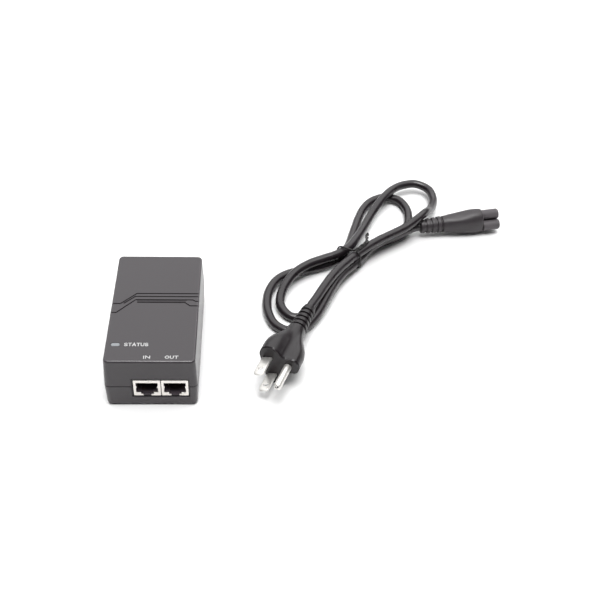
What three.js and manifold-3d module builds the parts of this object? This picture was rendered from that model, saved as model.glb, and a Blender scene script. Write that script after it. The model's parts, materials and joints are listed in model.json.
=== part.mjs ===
// Power-over-Ethernet injector: a two-shell desktop brick with two shielded RJ45 sockets at the
// front (-Y), a three-pin cloverleaf mains inlet at the rear (+Y), its board inside, and the
// tied-up mains lead lying beside it. Millimetres, +Z up, floor at z = 0.
import * as THREE from 'three';
import { mergeVertices } from 'three/addons/utils/BufferGeometryUtils.js';
import Module from 'manifold-3d';

// ---------------------------------------------------------------- driving dimensions
const W = 54.7, L = 97.1, H = 36;        // case width and length at the parting line, height
const CORNER = 2.9, EDGE = 1.3;          // plan corner radius, top and bottom edge rounding
const DRAFT_TOP = 0.86, DRAFT_BASE = 0.43;   // how far the sides lean in by the lid and by the base
const WALL = 2.0;                        // shell wall
const BASE_Z = 0.7;                      // underside of the case, feet stand below it
const PART_Z = 16.0, SEAM = 0.3;         // parting line height and its gap
const GAP = 0.3;                         // clearance between neighbouring pieces
const WIN = { x0: -11.45, x1: 22.65, z0: 7.1, z1: 22.8, y: -47.75 };   // shallow window round the sockets
const JACK = { w: 16.0, z0: 6.4, z1: 19.2, y0: -46.6, y1: -26.5, t: 0.5, at: [0, -1.35, 1.6] };   // drawn at z0..z1, y0..y1, then set at `at`
const JACK_X = { lan: -2.44, poe: 13.96 };
const INLET = { w: 20.0, z0: 9.0, z1: 25.5, y1: 48.1, depth: 13.0, cz: 17.0 };
const PIN_R = 1.2, LOBE_X = 4.0, LOBE_UP = 2.0, LOBE_DOWN = -3.8, LOBE_R = 3.5;
const LED = { x: -20.48, y: -33.55, w: 5.2, d: 2.5 };
const SCREWS = [[-20.5, -20], [20.5, -20], [-20.5, 24], [20.5, 24]];
const FEET = [[-19, -40], [19, -40], [-19, 40], [19, 40]];
const PCB_Z0 = 6.0, PCB_Z1 = 7.6, ON_PCB = 7.9;
const CORD_R = 2.95;                     // round three-core mains flex
const LEAD_AT = [-0.28, 0.15, 0];        // where the lead, drawn in its own frame, is laid down
const GROOVE_W = 0.7, GROOVE_D = 0.4;

// ---------------------------------------------------------------- boolean helpers
const wasm = await Module();
wasm.setup();
function toMan(geo) {
  const g = geo.clone();
  for (const k of Object.keys(g.attributes)) if (k !== 'position') g.deleteAttribute(k);
  const m = mergeVertices(g, 1e-4);
  return new wasm.Manifold(new wasm.Mesh({
    numProp: 3,
    vertProperties: new Float32Array(m.attributes.position.array),
    triVerts: new Uint32Array(m.index.array),
  }));
}
function fromMan(man) {
  const m = man.getMesh();
  const g = new THREE.BufferGeometry();
  g.setAttribute('position', new THREE.BufferAttribute(new Float32Array(m.vertProperties), 3));
  g.setIndex(new THREE.BufferAttribute(new Uint32Array(m.triVerts), 1));
  g.computeVertexNormals();
  return g;
}
const union = (...gs) => gs.map(toMan).reduce((a, b) => a.add(b));
const cut = (base, ...gs) => gs.map(toMan).reduce((a, b) => a.subtract(b), base);

// ---------------------------------------------------------------- shape helpers
function box(x0, x1, y0, y1, z0, z1) {
  const g = new THREE.BoxGeometry(x1 - x0, y1 - y0, z1 - z0);
  g.translate((x0 + x1) / 2, (y0 + y1) / 2, (z0 + z1) / 2);
  return g;
}
function cylZ(x, y, z0, z1, r, n = 20, r2 = r) {
  const g = new THREE.CylinderGeometry(r2, r, z1 - z0, n);
  g.rotateX(Math.PI / 2);
  g.translate(x, y, (z0 + z1) / 2);
  return g;
}
function cylY(x, z, y0, y1, r, n = 20, r2 = r) {
  const g = new THREE.CylinderGeometry(r2, r, y1 - y0, n);
  g.translate(x, (y0 + y1) / 2, z);
  return g;
}
function cylX(y, z, x0, x1, r, n = 20) {
  const g = new THREE.CylinderGeometry(r, r, x1 - x0, n);
  g.rotateZ(Math.PI / 2);
  g.translate((x0 + x1) / 2, y, z);
  return g;
}
// closed ring of a rounded rectangle, counter-clockwise seen from +Z
function ringRR(hw, hd, r, n = 4, cx = 0, cy = 0) {
  const pts = [];
  const corners = [[hw - r, hd - r, 0], [-(hw - r), hd - r, 1], [-(hw - r), -(hd - r), 2], [hw - r, -(hd - r), 3]];
  for (const [x, y, q] of corners) {
    for (let i = 0; i <= n; i++) {
      const a = (q + i / n) * Math.PI / 2;
      pts.push([cx + x + r * Math.cos(a), cy + y + r * Math.sin(a)]);
    }
  }
  return pts;
}
// skin through a list of equal-count 3-D rings, closed by a fan at both ends; rings run from
// start to end with each ring counter-clockwise seen looking back from the end
function skin(rings) {
  const n = rings[0].length, m = rings.length;
  const pos = [], idx = [];
  for (const r of rings) for (const p of r) pos.push(p[0], p[1], p[2]);
  for (let k = 0; k < m - 1; k++) {
    for (let i = 0; i < n; i++) {
      const a = k * n + i, b = k * n + (i + 1) % n, c = a + n, d = b + n;
      idx.push(a, b, d, a, d, c);
    }
  }
  const cap = (k, flip) => {
    const c = [0, 0, 0];
    for (const p of rings[k]) { c[0] += p[0] / n; c[1] += p[1] / n; c[2] += p[2] / n; }
    const ci = pos.length / 3;
    pos.push(...c);
    for (let i = 0; i < n; i++) {
      const a = k * n + i, b = k * n + (i + 1) % n;
      if (flip) idx.push(ci, b, a); else idx.push(ci, a, b);
    }
  };
  cap(0, true);
  cap(m - 1, false);
  return outward(pos, idx);
}
function outward(pos, idx) {             // indexed triangles, turned so the faces point outwards
  let vol = 0;
  const v = (i) => new THREE.Vector3(pos[3 * i], pos[3 * i + 1], pos[3 * i + 2]);
  for (let i = 0; i < idx.length; i += 3) vol += v(idx[i]).dot(v(idx[i + 1]).cross(v(idx[i + 2])));
  if (vol < 0) for (let i = 0; i < idx.length; i += 3) { const t = idx[i]; idx[i] = idx[i + 1]; idx[i + 1] = t; }
  const g = new THREE.BufferGeometry();
  g.setAttribute('position', new THREE.Float32BufferAttribute(pos, 3));
  g.setIndex(idx);
  g.computeVertexNormals();
  return g;
}
function prismXZ(pts, y0, y1) {          // polygon in (x, z) swept along Y
  const s = new THREE.Shape(pts.map(([x, z]) => new THREE.Vector2(x, z)));
  const g = new THREE.ExtrudeGeometry(s, { depth: y1 - y0, bevelEnabled: false, curveSegments: 8 });
  g.rotateX(Math.PI / 2);                // (x, y, z) -> (x, -z, y)
  g.translate(0, y1, 0);
  return g;
}
function prismXY(pts, z0, z1) {
  const s = new THREE.Shape(pts.map(([x, y]) => new THREE.Vector2(x, y)));
  const g = new THREE.ExtrudeGeometry(s, { depth: z1 - z0, bevelEnabled: false, curveSegments: 8 });
  g.translate(0, 0, z0);
  return g;
}
function polyStrip(line, w) {            // constant-width outline of an open polyline
  const left = [], right = [];
  for (let i = 0; i < line.length; i++) {
    const p = line[i], a = line[Math.max(0, i - 1)], b = line[Math.min(line.length - 1, i + 1)];
    const d1 = i > 0 ? norm2([p[0] - a[0], p[1] - a[1]]) : null;
    const d2 = i < line.length - 1 ? norm2([b[0] - p[0], b[1] - p[1]]) : null;
    const t = norm2(d1 && d2 ? [d1[0] + d2[0], d1[1] + d2[1]] : (d1 || d2));
    const n = [-t[1], t[0]];
    const ref = d1 || d2;
    const k = (w / 2) / Math.max(0.3, Math.abs(n[0] * -ref[1] + n[1] * ref[0]));
    left.push([p[0] + n[0] * k, p[1] + n[1] * k]);
    right.push([p[0] - n[0] * k, p[1] - n[1] * k]);
  }
  return right.concat(left.reverse());
}
function norm2(v) { const l = Math.hypot(v[0], v[1]) || 1; return [v[0] / l, v[1] / l]; }
function pill(cx, cy, w, d, n = 6) {
  const r = d / 2, pts = [];
  for (let i = 0; i <= n; i++) { const a = -Math.PI / 2 + Math.PI * i / n; pts.push([cx + w / 2 - r + r * Math.cos(a), cy + r * Math.sin(a)]); }
  for (let i = 0; i <= n; i++) { const a = Math.PI / 2 + Math.PI * i / n; pts.push([cx - w / 2 + r + r * Math.cos(a), cy + r * Math.sin(a)]); }
  return pts;
}

// ---------------------------------------------------------------- materials and assembly
const root = new THREE.Group();
root.name = 'poe_injector';
const MAT = {
  case_plastic: [0x565457, 0.55, 0], clear_plastic: [0xb0b6ba, 0.25, 0], led_epoxy: [0xd8e4e8, 0.3, 0],
  rubber_black: [0x242425, 0.85, 0], screw_steel: [0x9b9c9e, 0.35, 1], pcb_laminate: [0x2e5a3c, 0.6, 0],
  insulation_paper: [0xc9c2a4, 0.9, 0], shield_nickel: [0xd8d5cf, 0.28, 1], socket_plastic: [0x1c1b1d, 0.5, 0],
  contact_gold: [0xcaa24a, 0.3, 1], pin_nickel: [0xcfcdc8, 0.25, 1], ceramic_body: [0xd9d5c8, 0.6, 0],
  capacitor_sleeve: [0x23262b, 0.4, 0], film_capacitor: [0xc8b13a, 0.5, 0], epoxy_package: [0x1f1f22, 0.5, 0],
  ferrite: [0x3a3a3c, 0.7, 0], copper_winding: [0xb7702f, 0.4, 1], heatsink_aluminium: [0xb9bbbe, 0.4, 1],
  cord_pvc: [0x1d1c1e, 0.42, 0], overmould_pvc: [0x252427, 0.5, 0], connector_plastic: [0x3a393b, 0.5, 0],
  blade_nickel: [0xe4e2de, 0.2, 1], tie_pvc: [0x1b1b1c, 0.5, 0],
};
const LEAD = ['power_cord', 'connector_overmould', 'connector_nose', 'plug_overmould', 'plug_blade_line',
  'plug_blade_neutral', 'plug_ground_pin', 'twist_tie'];
function add(name, geo, slot) {
  const [color, roughness, metalness] = MAT[slot];
  const g = geo.isBufferGeometry ? geo : fromMan(geo);
  if (LEAD.includes(name)) g.translate(...LEAD_AT);
  const mesh = new THREE.Mesh(g, new THREE.MeshStandardMaterial({ color, roughness, metalness, name: slot }));
  mesh.name = name;
  root.add(mesh);
  return mesh;
}

// ---------------------------------------------------------------- case shells
const lean = (z) => (z > PART_Z ? DRAFT_TOP * (z - PART_Z) / (H - PART_Z) : DRAFT_BASE * (PART_Z - z) / (PART_Z - BASE_Z));
function ringAt(inset, z, hw = W / 2, hd = L / 2, r = CORNER) {
  const d = inset + lean(z);
  return ringRR(hw - d, hd - d, Math.max(0.6, r - inset)).map(([x, y]) => [x, y, z]);
}
function edgeRings(z, up) {              // quarter-round of radius EDGE leading to a flat at z
  const out = [];
  for (let i = 0; i <= 3; i++) {
    const a = (i / 3) * Math.PI / 2;
    out.push(ringAt(EDGE * (1 - Math.cos(a)), z - up * EDGE * (1 - Math.sin(a))));
  }
  return out;
}
const topOuter = skin([ringAt(0, PART_Z + SEAM / 2), ...edgeRings(H, 1)]);
const topInner = skin([ringAt(WALL, PART_Z - 2), ringAt(WALL, PART_Z), ringAt(WALL, H - WALL)]);
const botOuter = skin([...edgeRings(BASE_Z, -1).reverse(), ringAt(0, PART_Z - SEAM / 2)]);
const botInner = skin([ringAt(WALL, BASE_Z + WALL), ringAt(WALL, PART_Z), ringAt(WALL, PART_Z + 2)]);
const jackHole = box(JACK_X.lan - 8.35, JACK_X.poe + 8.3, -52, -44, JACK.z0 + JACK.at[2] - GAP, JACK.z1 + JACK.at[2] + GAP);
const winCut = box(WIN.x0, WIN.x1, -52, WIN.y, WIN.z0, WIN.z1);
const inletHole = box(-INLET.w / 2 - GAP, INLET.w / 2 + GAP, 44, 52, INLET.z0 - GAP, INLET.z1 + GAP);

// decorative grooves running across the lid
const GROOVES = [
  [[28, 11.25], [-11.88, 11.25], [-21.08, 1.9], [-28, 1.9]],
  [[28, 8.5], [-12.68, 8.5], [-19.18, 2.05]],
  [[28, 4.25], [24.12, 4.25], [22.52, 5.55], [-12.18, 5.55], [-22.88, -6.05], [-28, -6.05]],
  [[-11.18, 3.15], [17.82, 3.15], [20.92, 0.15], [28, 0.15]],
];
let lid = cut(toMan(topOuter), topInner, jackHole, winCut, inletHole,
  prismXY(pill(LED.x, LED.y, LED.w + 0.5, LED.d + 0.5), H - 6, H + 2),
  ...GROOVES.map((g) => prismXY(polyStrip(g, GROOVE_W), H - GROOVE_D, H + 2)));
for (const [x, y] of SCREWS) {
  lid = lid.add(toMan(cylZ(x, y, PART_Z + 0.35, H - WALL + 0.5, 3.4, 16)));
}
for (const [x, y] of SCREWS) lid = lid.subtract(toMan(cylZ(x, y, PART_Z - 1, 25, 1.6, 12)));
add('top_cover', lid, 'case_plastic');

let tray = cut(toMan(botOuter), botInner, jackHole, winCut, inletHole);
for (const [x, y] of SCREWS) tray = tray.add(toMan(cylZ(x, y, BASE_Z + WALL - 0.5, PART_Z - 0.35, 3.9, 16)));
for (const [x, y] of [[-21.8, -38], [21.8, -38], [-21.8, 38], [21.8, 38], [-21.8, 4], [21.8, 4]]) {
  tray = tray.add(toMan(cylZ(x, y, BASE_Z + WALL - 0.5, PCB_Z0 - GAP, 1.4, 10)));
}
for (const [x, y] of SCREWS) {
  tray = cut(tray, cylZ(x, y, -2, 4.2, 3.1, 16), cylZ(x, y, -2, PART_Z + 2, 1.6, 12));
}
for (const [x, y] of FEET) tray = tray.subtract(toMan(cylZ(x, y, -2, BASE_Z + 0.6, 4.8, 20)));
add('bottom_cover', tray, 'case_plastic');

// ---------------------------------------------------------------- feet and case screws
const corner = (x, y) => `${y < 0 ? 'front' : 'rear'}_${x < 0 ? 'left' : 'right'}`;
for (const [x, y] of FEET) {
  const prof = [[0, 0], [3.9, 0], [4.4, 0.25], [4.4, 1.0], [0, 1.0]].map(([r, z]) => new THREE.Vector2(r, z));
  const g = new THREE.LatheGeometry(prof, 20);
  g.rotateX(Math.PI / 2);
  g.translate(x, y, 0);
  add(`foot_${corner(x, y)}`, g, 'rubber_black');
}
for (const [x, y] of SCREWS) {
  let s = union(cylZ(x, y, 1.9, 3.9, 2.75, 16), cylZ(x, y, 3.5, 20, 1.3, 10));
  s = cut(s, box(x - 0.4, x + 0.4, y - 1.6, y + 1.6, 1.5, 2.9), box(x - 1.6, x + 1.6, y - 0.4, y + 0.4, 1.5, 2.9));
  add(`case_screw_${corner(x, y)}`, s, 'screw_steel');
}

// ---------------------------------------------------------------- indicator
add('light_pipe', union(prismXY(pill(LED.x, LED.y, LED.w, LED.d), H - 3.4, H + 0.05),
  cylZ(LED.x, LED.y, 13.8, H - 3, 1.2, 12)), 'clear_plastic');
{
  const prof = [[0, 0], [1.9, 0], [1.9, 0.9], [1.5, 0.9], [1.5, 3.8], [1.1, 5.0], [0, 5.5]].map(([r, z]) => new THREE.Vector2(r, z));
  const g = new THREE.LatheGeometry(prof, 14);
  g.rotateX(Math.PI / 2);
  g.translate(LED.x, LED.y, ON_PCB);
  add('power_led', g, 'led_epoxy');
}

// ---------------------------------------------------------------- board
{
  let b = toMan(box(-24, 24, -45.6, 45.6, PCB_Z0, PCB_Z1));
  for (const [x, y] of SCREWS) b = b.subtract(toMan(cylZ(x, y, 3, 9, 4.3, 16)));
  for (const x of [-20, 20]) for (const y of [-43, 43]) b = b.subtract(toMan(cylZ(x * 1.06, y, 3, 9, 0.9, 8)));
  add('main_pcb', b, 'pcb_laminate');
  add('insulation_sheet', cut(toMan(box(-15.5, 15.5, -2, 43, 4.6, 5.0)), cylZ(-12, 40, 4, 6, 1.5, 10), cylZ(12, 40, 4, 6, 1.5, 10)), 'insulation_paper');
}

// ---------------------------------------------------------------- RJ45 sockets
const T_OPEN = (cx, g, bump) => {
  const right = [[6.45, 17.0], [6.45, 14.4]];
  if (bump) right.push([6.05, 14.0], [5.95, 13.4], [6.05, 12.8]);
  right.push([6.45, 12.4], [6.45, 9.2], [3.7, 9.2], [3.7, 7.7], [2.45, 7.7], [2.45, bump ? 5.6 : 8.2]);
  const pts = right.map(([x, z]) => [x - g, z + (z > 10 && z < 17 ? 0 : z === 17.0 ? -g : g)]);
  const left = pts.map(([x, z]) => [-x, z]).reverse();
  return pts.concat(left).map(([x, z]) => [x + cx, z]).reverse();
};
for (const key of ['lan', 'poe']) {
  const cx = JACK_X[key];
  const hw = JACK.w / 2;
  // bright shield: front plate with the stepped opening, four thin sides, open at the back
  const shield = cut(toMan(box(cx - hw, cx + hw, JACK.y0, JACK.y1, JACK.z0, JACK.z1)),
    box(cx - hw + JACK.t, cx + hw - JACK.t, JACK.y0 + JACK.t, JACK.y1 + 2, JACK.z0 + JACK.t, JACK.z1 - JACK.t),
    prismXZ(T_OPEN(cx, 0, true), JACK.y0 - 1, JACK.y0 + 0.9));
  add(`${key}_jack_shield`, shield.translate(JACK.at), 'shield_nickel');
  // insulating body with the plug cavity and latch channel
  const body = cut(toMan(box(cx - 7.2, cx + 7.2, -45.8, -27.0, 7.2, 18.4)),
    box(cx - 6.2, cx + 6.2, -47, -33.0, 9.4, 16.8),
    box(cx - 3.5, cx + 3.5, -47, -34.5, 8.0, 9.6));
  add(`${key}_jack_housing`, body.translate(JACK.at), 'socket_plastic');
  // eight spring contacts on one carrier
  let comb = toMan(box(cx - 4.4, cx + 4.4, -35.6, -33.3, 14.3, 16.5));
  for (let i = 0; i < 8; i++) {
    const x = cx - 3.57 + 1.02 * i;
    comb = comb.add(toMan(prismYZ([[-44.6, 16.1], [-44.6, 16.5], [-43.8, 16.5], [-35.2, 14.9], [-35.2, 14.4]], x - 0.22, x + 0.22)));
  }
  add(`${key}_jack_contacts`, comb.translate(JACK.at), 'contact_gold');
}
function prismYZ(pts, x0, x1) {          // polygon in (y, z) swept along X
  const s = new THREE.Shape(pts.map(([y, z]) => new THREE.Vector2(y, z)));
  const g = new THREE.ExtrudeGeometry(s, { depth: x1 - x0, bevelEnabled: false });
  const m = new THREE.Matrix4().set(0, 0, 1, x0, 1, 0, 0, 0, 0, 1, 0, 0, 0, 0, 0, 1);
  g.applyMatrix4(m);
  return g;
}

// ---------------------------------------------------------------- mains inlet
function clover(r, k = 12) {             // outline of three joined lobes, centred on the pin group
  const cs = [[LOBE_X, LOBE_UP], [-LOBE_X, LOBE_UP], [0, LOBE_DOWN]];
  const pts = [];
  const n = k * 3;
  for (let i = 0; i < n; i++) {
    const a = Math.PI / 6 + (i / n) * Math.PI * 2, d = [Math.cos(a), Math.sin(a)];
    let best = 0;
    for (const c of cs) {
      const b = c[0] * d[0] + c[1] * d[1];
      const q = b * b - (c[0] * c[0] + c[1] * c[1] - r * r);
      if (q > 0) best = Math.max(best, b + Math.sqrt(q));
    }
    pts.push([d[0] * best, d[1] * best]);
  }
  return pts;
}
{
  const socket = prismXZ(clover(LOBE_R + 0.5).map(([x, z]) => [x, z + INLET.cz]), INLET.y1 - INLET.depth, INLET.y1 + 2);
  const body = cut(union(box(-INLET.w / 2, INLET.w / 2, 44.6, INLET.y1, INLET.z0, INLET.z1),
    box(-10.5, 10.5, 28, 45.4, ON_PCB, INLET.z1)), socket);
  add('inlet_housing', body, 'socket_plastic');
  const pins = { line: [-LOBE_X, LOBE_UP], neutral: [LOBE_X, LOBE_UP], earth: [0, LOBE_DOWN] };
  for (const [k, [x, z]] of Object.entries(pins)) {
    const y0 = INLET.y1 - INLET.depth + GAP, y1 = INLET.y1 - (k === 'earth' ? 2.2 : 3.2);
    const prof = [[0, y0], [PIN_R, y0], [PIN_R, y1 - 0.9], [0.6, y1 - 0.15], [0, y1]].map(([r, y]) => new THREE.Vector2(r, y));
    const g = new THREE.LatheGeometry(prof, 12);
    g.translate(x, 0, z + INLET.cz);
    add(`inlet_pin_${k}`, g, 'pin_nickel');
  }
}

// ---------------------------------------------------------------- board components
{
  // glass-tube fuse with end caps
  const prof = [[0, 0], [2.6, 0], [2.6, 4.2], [2.2, 4.4], [2.2, 9.6], [2.6, 9.8], [2.6, 14], [0, 14]].map(([r, y]) => new THREE.Vector2(r, y));
  const g = new THREE.LatheGeometry(prof, 14);
  g.translate(-17, 30, ON_PCB + 2.6);
  add('fuse', g, 'ceramic_body');
}
add('inrush_thermistor', union(cylY(17, ON_PCB + 5.6, 36.6, 40.4, 4.4, 18), box(14.9, 15.5, 38.2, 38.8, ON_PCB, ON_PCB + 4), box(18.5, 19.1, 38.2, 38.8, ON_PCB, ON_PCB + 4)), 'epoxy_package');
add('x_capacitor', skin([
  ...[[0.5, ON_PCB], [0, ON_PCB + 0.6], [0, ON_PCB + 13.6], [0.8, ON_PCB + 14.6]].map(([i, z]) => ringRR(8.7 - i, 4.4 - i, 1.0, 2, -6.6, 19.4).map(([x, y]) => [x, y, z])),
]), 'film_capacitor');
{
  // toroid wound as two bulging halves on an upright core
  const rings = [];
  const n = 30, m = 10;
  const pos = [], idx = [];
  for (let i = 0; i < n; i++) {
    const a = (i / n) * Math.PI * 2;
    const wound = Math.abs(Math.cos(a)) > 0.35;
    const tube = wound ? 2.55 + 0.12 * (i % 2) : 1.9;
    for (let j = 0; j < m; j++) {
      const b = (j / m) * Math.PI * 2;
      const rr = 4.15 + tube * Math.cos(b) * 0.95;
      pos.push(9.5 + rr * Math.cos(a), 19 + tube * Math.sin(b), ON_PCB + 6.9 + rr * Math.sin(a));
    }
  }
  for (let i = 0; i < n; i++) for (let j = 0; j < m; j++) {
    const a = i * m + j, b = i * m + (j + 1) % m, c = ((i + 1) % n) * m + j, d = ((i + 1) % n) * m + (j + 1) % m;
    idx.push(a, d, c, a, b, d);
  }
  add('common_mode_choke', outward(pos, idx), 'copper_winding');
}
add('bridge_rectifier', prismXZ([[-22.4, ON_PCB], [-10.6, ON_PCB], [-10.6, ON_PCB + 11], [-20.6, ON_PCB + 11], [-22.4, ON_PCB + 9.2]], 7.7, 11.3), 'epoxy_package');
{
  const can = (x, y, r, h, seg) => {
    const prof = [[0, 0], [r - 0.5, 0], [r, 0.5], [r, 1.6], [r - 0.45, 2.1], [r, 2.6], [r, h - 0.7], [r - 0.7, h], [0, h]].map(([q, z]) => new THREE.Vector2(q, z));
    const g = new THREE.LatheGeometry(prof, seg);
    g.rotateX(Math.PI / 2);
    g.translate(x, y, ON_PCB);
    return cut(toMan(g), box(x - r * 0.7, x + r * 0.7, y - 0.2, y + 0.2, ON_PCB + h - 0.35, ON_PCB + h + 1),
      box(x - 0.2, x + 0.2, y - r * 0.7, y + r * 0.7, ON_PCB + h - 0.35, ON_PCB + h + 1));
  };
  add('bulk_capacitor', can(14.5, 3.5, 8.0, 25, 20), 'capacitor_sleeve');
  add('output_capacitor_1', can(2.2, -20.2, 4.0, 15.5, 14), 'capacitor_sleeve');
  add('output_capacitor_2', can(11.4, -20.2, 4.0, 15.5, 14), 'capacitor_sleeve');
}
{
  const tx = -5.5, ty = -5.0, z0 = ON_PCB + 0.6;
  const core = cut(toMan(box(tx - 10.4, tx + 10.4, ty - 4.5, ty + 4.5, z0, z0 + 19)),
    box(tx - 7.0, tx - 3.5, ty - 6, ty + 6, z0 + 3.4, z0 + 15.6),
    box(tx + 3.5, tx + 7.0, ty - 6, ty + 6, z0 + 3.4, z0 + 15.6));
  add('transformer_core', core, 'ferrite');
  const wind = cut(toMan(skin([[0.4, z0 + 3.7], [0, z0 + 4.3], [0, z0 + 14.7], [0.4, z0 + 15.3]].map(([i, z]) => ringRR(6.7 - i, 8.4 - i, 2.2, 3, tx, ty).map(([x, y]) => [x, y, z])))),
    box(tx - 3.8, tx + 3.8, ty - 4.8, ty + 4.8, z0, z0 + 20));
  add('transformer_winding', wind, 'film_capacitor');
}
add('primary_heatsink', cut(union(box(-22.7, -21.2, -14, 5.5, ON_PCB, 28.6), box(-22.7, -19.2, -14, -12.6, ON_PCB, 28.6)), cylX(-4.5, 23.2, -24, -19.5, 1.6, 12)), 'heatsink_aluminium');
{
  let q = union(box(-20.9, -16.8, -9.4, 0.4, ON_PCB + 3, ON_PCB + 12), box(-20.9, -19.7, -9.4, 0.4, ON_PCB + 11.6, ON_PCB + 18));
  q = cut(q, cylX(-4.5, 23.2, -22, -18, 1.8, 12));
  for (const y of [-7.0, -4.5, -2.0]) q = q.add(toMan(box(-19.3, -18.7, y - 0.4, y + 0.4, ON_PCB, ON_PCB + 3.3)));
  add('switching_transistor', q, 'epoxy_package');
}
add('output_heatsink', cut(union(box(8.2, 22.6, -8.0, -6.5, ON_PCB, 26.6), box(21.2, 22.6, -12.4, -6.5, ON_PCB, 26.6)), cylY(15, 23.2, -9, -5, 1.6, 12)), 'heatsink_aluminium');
add('output_diode', union(box(10.1, 19.9, -12.5, -8.3, ON_PCB + 3, ON_PCB + 12), box(10.1, 19.9, -9.5, -8.3, ON_PCB + 11.6, ON_PCB + 18)).subtract(toMan(cylY(15, 23.2, -11, -7, 1.8, 12))).add(toMan(box(12.1, 12.9, -11.2, -10.6, ON_PCB, ON_PCB + 3.3))).add(toMan(box(17.1, 17.9, -11.2, -10.6, ON_PCB, ON_PCB + 3.3))), 'epoxy_package');
{
  const prof = [[0, 0], [3.8, 0], [3.8, 1.2], [3.1, 1.5], [3.25, 4.0], [3.1, 6.6], [3.8, 6.9], [3.8, 8.2], [0, 8.2]].map(([r, z]) => new THREE.Vector2(r, z));
  const g = new THREE.LatheGeometry(prof, 16);
  g.rotateX(Math.PI / 2);
  g.translate(-6.0, -20.2, ON_PCB);
  add('output_inductor', g, 'ferrite');
}
add('y_capacitor', union(cylX(-19.4, ON_PCB + 4.6, -14.4, -11.6, 3.3, 16), box(-13.3, -12.7, -21.6, -21.0, ON_PCB, ON_PCB + 3), box(-13.3, -12.7, -17.8, -17.2, ON_PCB, ON_PCB + 3)), 'ceramic_body');
const chip = (x, y, w, d, h, pins) => {
  let c = toMan(box(x - w / 2, x + w / 2, y - d / 2, y + d / 2, ON_PCB + 0.5, ON_PCB + h));
  c = c.subtract(toMan(cylZ(x - w / 2 + 0.9, y + d / 2 - 0.9, ON_PCB + h - 0.2, ON_PCB + h + 1, 0.4, 8)));
  for (let i = 0; i < pins; i++) {
    const py = y - d / 2 + (i + 0.5) * d / pins;
    c = c.add(toMan(box(x - w / 2 - 0.8, x + w / 2 + 0.8, py - 0.25, py + 0.25, ON_PCB + 0.9, ON_PCB + 1.3)));
    c = c.add(toMan(box(x - w / 2 - 0.8, x - w / 2 - 0.4, py - 0.25, py + 0.25, ON_PCB, ON_PCB + 1.3)));
    c = c.add(toMan(box(x + w / 2 + 0.4, x + w / 2 + 0.8, py - 0.25, py + 0.25, ON_PCB, ON_PCB + 1.3)));
  }
  return c;
};
add('optocoupler', chip(-16.5, -28.2, 4.6, 4.8, 3.4, 2), 'epoxy_package');
add('controller_chip', chip(19.2, 15.0, 4.0, 5.0, 2.2, 4), 'epoxy_package');
add('data_magnetics', chip(-15.4, -40.2, 5.8, 6.6, 4.6, 4), 'epoxy_package');

// ---------------------------------------------------------------- mains lead
// Route of the tied-up flex, from the cloverleaf connector to the mains plug.
const ROUTE = '179.03,116.98,7.20;169.32,111.32,8.34;159.84,105.15,8.41;150.25,99.16,8.12;141.54,92.02,7.37;134.50,83.34,5.72;127.59,74.41,5.97;120.97,65.32,7.20;115.39,55.52,7.89;110.65,45.26,8.16;106.24,34.84,8.11;101.30,24.79,6.68;94.29,16.28,4.42;84.08,12.30,2.93;74.37,17.43,3.41;69.78,27.65,4.12;68.72,38.88,4.19;70.43,50.03,4.30;75.28,60.18,4.66;83.78,67.51,4.55;94.11,72.00,3.67;104.59,76.22,3.24;114.45,81.72,3.55;122.50,89.55,3.98;127.14,99.82,4.22;130.26,110.69,3.96;133.23,121.59,3.46;136.39,132.44,3.10;140.41,143.00,2.99;146.82,152.25,3.19;156.76,157.20,3.73;167.34,154.15,3.74;172.76,144.44,3.18;173.12,133.19,3.01;170.69,122.16,3.05;164.83,112.65,2.96;155.37,106.48,3.01;145.61,100.79,2.99;136.74,93.79,2.86;129.11,85.45,2.86;122.40,76.35,2.92;116.44,66.74,2.92;111.44,56.61,2.97;106.97,46.21,3.00;102.49,35.83,3.01;95.64,27.00,2.90;84.86,25.71,3.15;78.05,34.09,4.46;78.34,45.23,5.87;82.56,55.49,7.84;89.31,64.32,9.78;98.13,71.32,10.47;108.03,76.78,10.38;117.91,82.25,10.10;126.05,90.02,10.04;131.81,99.73,9.85;136.51,109.97,8.89;140.70,120.42,7.81;145.20,130.78,7.96;150.64,140.60,9.27;156.78,150.03,10.37;163.42,159.13,9.70;171.45,166.88,8.10;182.15,169.86,7.42;191.62,164.53,6.13;193.66,153.61,5.80;191.56,142.67,7.57;187.72,132.58,10.88;182.73,123.33,15.03;176.25,114.33,16.58;167.85,106.94,15.15;158.38,100.86,14.10;148.99,94.57,13.72;139.90,87.90,12.86;131.39,80.56,11.71;124.26,71.85,12.56;117.75,62.67,13.60;111.75,53.10,14.00;106.28,43.20,13.67;101.18,33.12,13.27;96.10,23.01,13.23'
  .split(';').map((s) => new THREE.Vector3(...s.split(',').map(Number)));
const TIE_AT = new THREE.Vector3(125.65, 80.05, 0);
const TIE_R = 0.45;                      // coated wire
const LIFT = 1.4, LIFT_R = 13;           // the bundle rises a little where the tie passes under it
const lift = (p) => LIFT * Math.exp(-((p.x - TIE_AT.x) ** 2 + (p.y - TIE_AT.y) ** 2) / (2 * LIFT_R * LIFT_R));
for (const p of ROUTE) {
  const up = lift(p);
  p.set(p.x - 0.15 * up, p.y - 1.2 * up, Math.max(p.z, CORD_R + 0.05) + up);
}
ROUTE[0].z += 0.45;

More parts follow.
